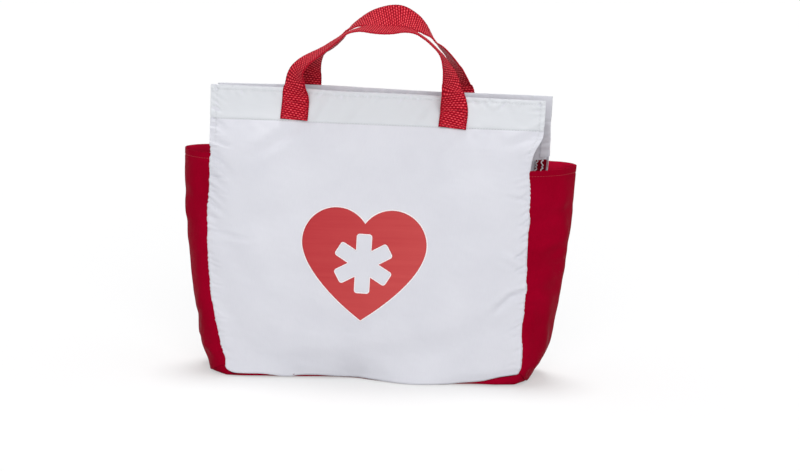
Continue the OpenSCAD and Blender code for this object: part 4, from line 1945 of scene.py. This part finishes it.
@dataclass(frozen=True)
class Studio:
    """A pale floor, soft lamps and a camera in front of the bag, a little above it."""

    azimuth: float = 5.0
    elevation: float = 10.5
    roll: float = 1.2
    distance: float = 1.8
    target: tuple[float, float, float] = (0.0, 0.0, 0.133)
    lens: float = 86.87
    shift: tuple[float, float] = (0.0359, -0.00525)

    def camera(self) -> None:
        """Makes the camera and makes it the scene's own."""
        a, e, r = (math.radians(v) for v in (self.azimuth, self.elevation, self.roll))
        ahead = Vector((-math.sin(a) * math.cos(e), math.cos(a) * math.cos(e), -math.sin(e)))
        right = Vector((math.cos(a), math.sin(a), 0))
        up = right.cross(ahead)
        x = right * math.cos(r) + up * math.sin(r)
        y = up * math.cos(r) - right * math.sin(r)
        data = bpy.data.cameras.new("studio_camera")
        data.sensor_width, data.lens = 36.0, self.lens
        data.shift_x, data.shift_y = self.shift
        camera = bpy.data.objects.new("studio_camera", data)
        bpy.context.scene.collection.objects.link(camera)
        turn = Matrix((x, y, -ahead)).transposed().to_4x4()
        camera.matrix_world = Matrix.Translation(Vector(self.target) - ahead * self.distance) @ turn
        bpy.context.scene.camera = camera

    def lamp(self, name: str, azimuth: float, elevation: float, spread: float, strength: float) -> None:
        """Adds a distant soft lamp, so that the whole floor is lit evenly.

        Args:
            name: The lamp's name.
            azimuth: Degrees round from the front, towards the right.
            elevation: Degrees above the floor.
            spread: Degrees of sky that it fills.
            strength: Watts per square metre.
        """
        a, e = math.radians(azimuth), math.radians(elevation)
        data = bpy.data.lights.new(name, "SUN")
        data.angle, data.energy = math.radians(spread), strength
        lamp = bpy.data.objects.new(name, data)
        place = Vector((math.sin(a) * math.cos(e), -math.cos(a) * math.cos(e), math.sin(e)))
        lamp.location = place * 2
        lamp.rotation_euler = (-place).to_track_quat("-Z", "Y").to_euler()
        bpy.context.scene.collection.objects.link(lamp)

    def floor(self) -> None:
        """Makes the white floor, which keeps the bag's shadow."""
        bm = bmesh.new()
        bmesh.ops.create_grid(bm, x_segments=1, y_segments=1, size=9.0)
        s = Surface("studio_floor")
        rays = s.add("ShaderNodeLightPath").outputs
        diffuse = s.add("ShaderNodeBsdfDiffuse", {"Color": (0.5, 0.5, 0.502, 1)})
        seen = s.calc("MAXIMUM", rays["Is Camera Ray"], rays["Is Glossy Ray"])
        strength = s.calc("MULTIPLY", seen, 0.42)
        glow = s.add("ShaderNodeEmission", {"Color": (1, 1, 1, 1), "Strength": strength})
        both = s.add("ShaderNodeAddShader", {0: diffuse.outputs[0], 1: glow.outputs[0]})
        s.put(s.tree.nodes["Material Output"].inputs["Surface"], both.outputs[0])
        s.tree.nodes.remove(s.shader)
        publish(bm, "floor", s.material, smooth=False)

    def world(self) -> None:
        """Makes a plain pale world that is white to the camera."""
        world = bpy.data.worlds.new("studio_world")
        world.use_nodes = True
        bpy.context.scene.world = world
        g = Graph(world.node_tree)
        rays = g.add("ShaderNodeLightPath").outputs
        seen = g.calc("MAXIMUM", rays["Is Camera Ray"], rays["Is Transmission Ray"])
        back = g.tree.nodes["Background"].inputs
        g.put(back["Strength"], g.between(seen, 0.45, 1.0))
        g.put(back["Color"], (1, 1, 1, 1))

    def build(self) -> None:
        """Makes the whole studio."""
        bpy.context.scene.view_settings.view_transform = "Standard"
        self.camera()
        self.floor()
        self.world()
        self.lamp("key_lamp", 7, 22, 50, 1.62)
        self.lamp("top_lamp", 180, 79.5, 20, 1.7)


# ---------------------------------------------------------------- the whole bag


def folds(*rows: tuple[float, float, float, float, float, float]) -> tuple[Crease, ...]:
    """Turns rows of X and Z of both ends, width and height into creases."""
    return tuple(Crease((x0, z0), (x1, z1), width, height) for x0, z0, x1, z1, width, height in rows)


FRONT_CREASES = folds(
    (-60, 238, -96, 212, 5.5, -1.5), (-80, 226, -108, 206, 6.0, -0.54), (-48, 258, -55, 241, 3.2, -0.54),
    (-39, 260, -48, 243, 3.0, 0.42), (-18, 253, -28, 236, 5.0, -0.66), (-9, 252, -19, 238, 4.0, 0.42),
    (-149, 234, -136, 227, 3.0, -0.72), (-149, 223, -135, 214, 3.0, -0.8), (-148, 208, -132, 189, 4.2, -1.6),
    (-150, 188, -134, 175, 3.4, -1.2), (-151, 176, -137, 163, 3.0, -1.2), (-151, 165, -136, 153, 2.8, -1.12),
    (-151, 149, -141, 144, 3.0, -0.72), (-151, 134, -118, 129, 3.0, -1.28), (9, 193, -40, 170, 9.0, -1.08),
    (1, 232, -21, 207, 7.0, -0.66), (53, 259, 39, 241, 3.4, -0.6), (60, 257, 45, 239, 3.0, 0.48),
    (82, 233, 60, 215, 5.0, -0.72), (28, 227, 22, 210, 6.0, -0.66), (156, 235, 128, 222, 4.0, -1.2),
    (148, 171, 129, 174, 2.6, -0.96), (147, 88, 133, 83, 3.2, -2.0), (134, 84, 119, 70, 3.8, -1.9),
    (147, 110, 128, 120, 4.0, 1.1), (-134, 28, -142, 50, 4.0, -0.8), (120, 262, 88, 257, 3.0, -0.42),
)
BACK_CREASES = folds(
    (60, 236, 96, 210, 6.0, -1.4), (-70, 236, -40, 205, 6.0, -1.3), (152, 190, 130, 176, 3.6, -1.4),
    (152, 150, 126, 142, 3.4, -1.3), (-149, 200, -128, 184, 3.6, -1.6), (-148, 120, -118, 126, 3.4, -1.4),
    (30, 150, -30, 120, 10.0, -2.0), (-20, 90, 60, 60, 10.0, 1.6),
)
FRONT_HANDLE_STOPS = (
    (-71.7, 237.8, 12, 0), (-71, 246, 12, 1), (-70.7, 254.6, 12, 6), (-71, 259.8, 12.5, 13),
    (-71.2, 264.5, 13.2, 24), (-71.4, 269.2, 14, 35), (-71.3, 273.9, 15.5, 41), (-70.7, 278.4, 17, 47),
    (-69.4, 282.4, 17.3, 54), (-67.6, 285.4, 17.7, 60), (-64.6, 289.2, 18, 64), (-61.3, 292.3, 17.7, 69),
    (-56.8, 295.3, 17.3, 73), (-52.4, 298, 17, 75), (-48.1, 300.9, 16.3, 78), (-43.5, 303.9, 15.7, 80),
    (-38.7, 307.3, 15, 83), (-34.3, 310.6, 14.5, 84), (-30.1, 313.8, 14.1, 86), (-26.3, 316.8, 13.6, 88),
    (-22.5, 318.9, 13.5, 89), (-17.3, 320.5, 13.3, 88), (-12.9, 321.6, 13.2, 85.8), (-6.6, 322.2, 13, 80.8),
    (0.7, 321.9, 13, 77.8), (9.8, 321.5, 13, 77.8), (18.9, 321.7, 13, 79.8), (26.1, 322.1, 13, 84.4),
    (32.3, 321.5, 13, 88), (36.7, 320.2, 13, 91), (40.3, 318.6, 13, 93), (44.7, 315.8, 13, 93),
    (49.3, 312.6, 13, 93), (53.8, 308.6, 13, 93), (57.1, 305.5, 13.2, 93), (59.9, 302.5, 13.4, 92),
    (62.9, 298.7, 13.6, 88), (65.6, 293.9, 14.5, 83), (67.6, 289.6, 15.5, 76), (69.4, 285, 16.2, 68),
    (70.8, 279.6, 17, 60), (71.9, 273.9, 16.5, 53), (72.6, 268.2, 14.5, 46), (73.2, 262.4, 12.7, 34),
    (74.2, 256, 12, 18), (74.8, 249, 12, 5), (73.4, 234.4, 12, 0),
)
BACK_HANDLE_STOPS = (
    (-63.3, 236.5, 15, 0), (-63.3, 248.3, 15, 3), (-63.3, 257, 15, 12), (-63.3, 265.9, 15, 25),
    (-62.8, 271.6, 15.8, 30), (-61.9, 277.4, 16.7, 40), (-60.2, 283.4, 17.5, 51), (-57.4, 289.5, 17.7, 64),
    (-54, 294.5, 17.8, 73), (-50.6, 297.8, 18, 78), (-46.8, 300.4, 17.4, 76), (-43.1, 303.2, 16.8, 76),
    (-40, 305.6, 16.2, 77), (-37, 308, 15.8, 79), (-34.1, 310.5, 15.4, 81), (-31.6, 313, 15, 84),
    (-29.2, 316, 14.8, 88), (-27, 318.6, 14.6, 88), (-23.9, 320.8, 14, 95), (-20.8, 323.1, 13.4, 97),
    (-16.8, 325.4, 11.9, 101.7), (-12.2, 327.2, 10.4, 109.2), (-6.7, 329.1, 9, 117.7),
    (-0.2, 330.6, 7.6, 127.2), (7.2, 331.6, 7, 136.1), (13.4, 332.3, 6.3, 140.5),
    (19.6, 332.4, 6.4, 140.6), (24.4, 331.7, 6.4, 134.5),
    (29.3, 330, 6.5, 127.6), (33.9, 327.9, 7.2, 121.3), (38.5, 324.9, 7.8, 114.9), (42.9, 321.9, 8.5, 105.6),
    (46.4, 318.5, 10, 98.3), (50.1, 315.2, 11.5, 89.2), (52.7, 312, 13, 85), (54.6, 309.5, 13.5, 86),
    (57.9, 306.6, 14, 80), (61.2, 303.7, 14.5, 77), (64.6, 300.2, 15, 76), (67.8, 296.4, 15.8, 74),
    (70.7, 291.9, 16.7, 70), (73.2, 286.9, 17.5, 64), (75.6, 281.1, 17.5, 56), (77.6, 275.1, 17.5, 48),
    (79, 269.3, 16.5, 38), (79.8, 263.5, 15.5, 23), (80.2, 255.5, 15, 8), (79.6, 236, 15, 0),
)
LEFT_FACETS = (
    (0.0, 176, 0.62, 150, 9.0, 0.85), (0.1, 128, 0.9, 142, 8.0, -0.78), (0.0, 110, 0.7, 96, 9.0, 0.65),
    (0.25, 61, 1.0, 74, 7.0, -0.65), (0.0, 30, 1.0, 27, 3.0, -0.72), (0.3, 190, 0.95, 168, 7.0, 0.52),
    (0.55, 40, 0.9, 14, 5.0, 0.59), (0.5, 120, 0.5, 50, 12.0, 0.78),
)
RIGHT_FACETS = (
    (0.0, 152, 0.55, 165, 7.0, -1.43), (0.05, 124, 0.5, 142, 7.0, 1.95), (0.1, 108, 0.62, 116, 6.0, -1.56),
    (0.42, 132, 0.52, 60, 8.0, 1.82), (0.0, 92, 0.4, 84, 5.0, -1.17), (0.3, 70, 0.3, 20, 9.0, 1.3),
    (0.3, 185, 0.36, 125, 6.0, 1.17), (0.5, 180, 0.95, 150, 8.0, -1.3), (0.55, 60, 0.95, 40, 7.0, -1.17),
)


def make_walls(finishes: Finishes) -> tuple[Wall, Wall]:
    """Lays out the two white walls.

    Args:
        finishes: The bag's finishes.

    Returns:
        The front wall and the back wall.
    """
    front = Wall(
        "front", Facing.FRONT, FRONT_LEFT, FRONT_RIGHT,
        base=Curve((
            (0, 9.5), (0.009, 6.6), (0.024, 4.4), (0.04, 3.5), (0.07, 3.3), (0.134, 3.2), (0.19, 1.3),
            (0.22, 0.8), (0.26, 2.4), (0.33, 2.6), (0.39, 1.6), (0.45, 1.2), (0.6, 0.6), (0.76, 0.8),
            (0.81, 2.2), (0.878, 4.2), (0.935, 8.4), (0.975, 10.6), (1, 12.0),
        )),
        crest=Curve(((0, 267.3), (0.25, 266.0), (0.4, 264.4), (0.56, 263.8), (0.75, 262.6), (1, 261.3))),
        creases=FRONT_CREASES,
        finishes=finishes,
        toe=Curve((
            (0, 7.5), (0.12, 5.5), (0.19, 2.5), (0.26, 0), (0.39, -4), (0.45, -5.5), (0.5, -1), (0.6, 7.5),
            (0.665, 9), (0.79, 2.5), (0.9, 0.5), (1, 0),
        )),
    )
    back = Wall(
        "back", Facing.BACK, BACK_RIGHT, BACK_LEFT,
        base=Curve((
            (0, 11), (0.03, 8), (0.08, 4), (0.2, 2), (0.5, 1.4), (0.8, 1.8), (0.93, 3), (0.98, 6), (1, 9),
        )),
        crest=Curve(((0, 263.1), (0.22, 263.8), (0.36, 263.9), (0.67, 266.6), (1, 266.0))),
        creases=BACK_CREASES,
        finishes=finishes,
    )
    return front, back


def make_gussets(finishes: Finishes) -> tuple[Gusset, Gusset]:
    """Lays out the two red gussets.

    Args:
        finishes: The bag's finishes.

    Returns:
        The left gusset and the right gusset.
    """
    left = Gusset(
        "left", Side.LEFT, BACK_LEFT, FRONT_LEFT,
        bulge=Curve((
            (0, 19.5), (10, 22.5), (17, 24.5), (29, 25), (48, 23), (61, 23), (85, 22.5), (110, 22.5),
            (135, 24), (160, 25.5), (206, 27),
        )),
        point_of=1.9,
        creases=LEFT_FACETS,
        finishes=finishes,
    )
    right = Gusset(
        "right", Side.RIGHT, FRONT_RIGHT, BACK_RIGHT,
        bulge=Curve((
            (0, 8), (7, 12), (20, 17.5), (36, 22.5), (59, 25.2), (75, 26.6), (90, 27.6), (123, 30.6),
            (170, 32), (201, 33.2),
        )),
        point_of=1.8,
        creases=RIGHT_FACETS,
        finishes=finishes,
    )
    return left, right


def main() -> None:
    """Builds the bag part by part and the studio round it."""
    logging.basicConfig(level=logging.INFO, format="%(name)s: %(message)s")
    finishes = Finishes.make()
    front, back = make_walls(finishes)
    left, right = make_gussets(finishes)
    allowances = [
        Allowance(f"{wall.name}_{'right' if at_end == (wall is front) else 'left'}", wall, at_end, finishes)
        for wall in (front, back)
        for at_end in (False, True)
    ]
    parts: list[Part] = [
        front,
        back,
        left,
        right,
        Bottom(front, back, left, right, finishes),
        *allowances,
        HeartPrint(front, finishes),
        Handle("front", front, FRONT_HANDLE_STOPS, finishes),
        Handle("back", back, BACK_HANDLE_STOPS, finishes),
    ]
    for part in parts:
        part.dress(part.build())
    Studio().build()


if __name__ == "__main__":
    main()
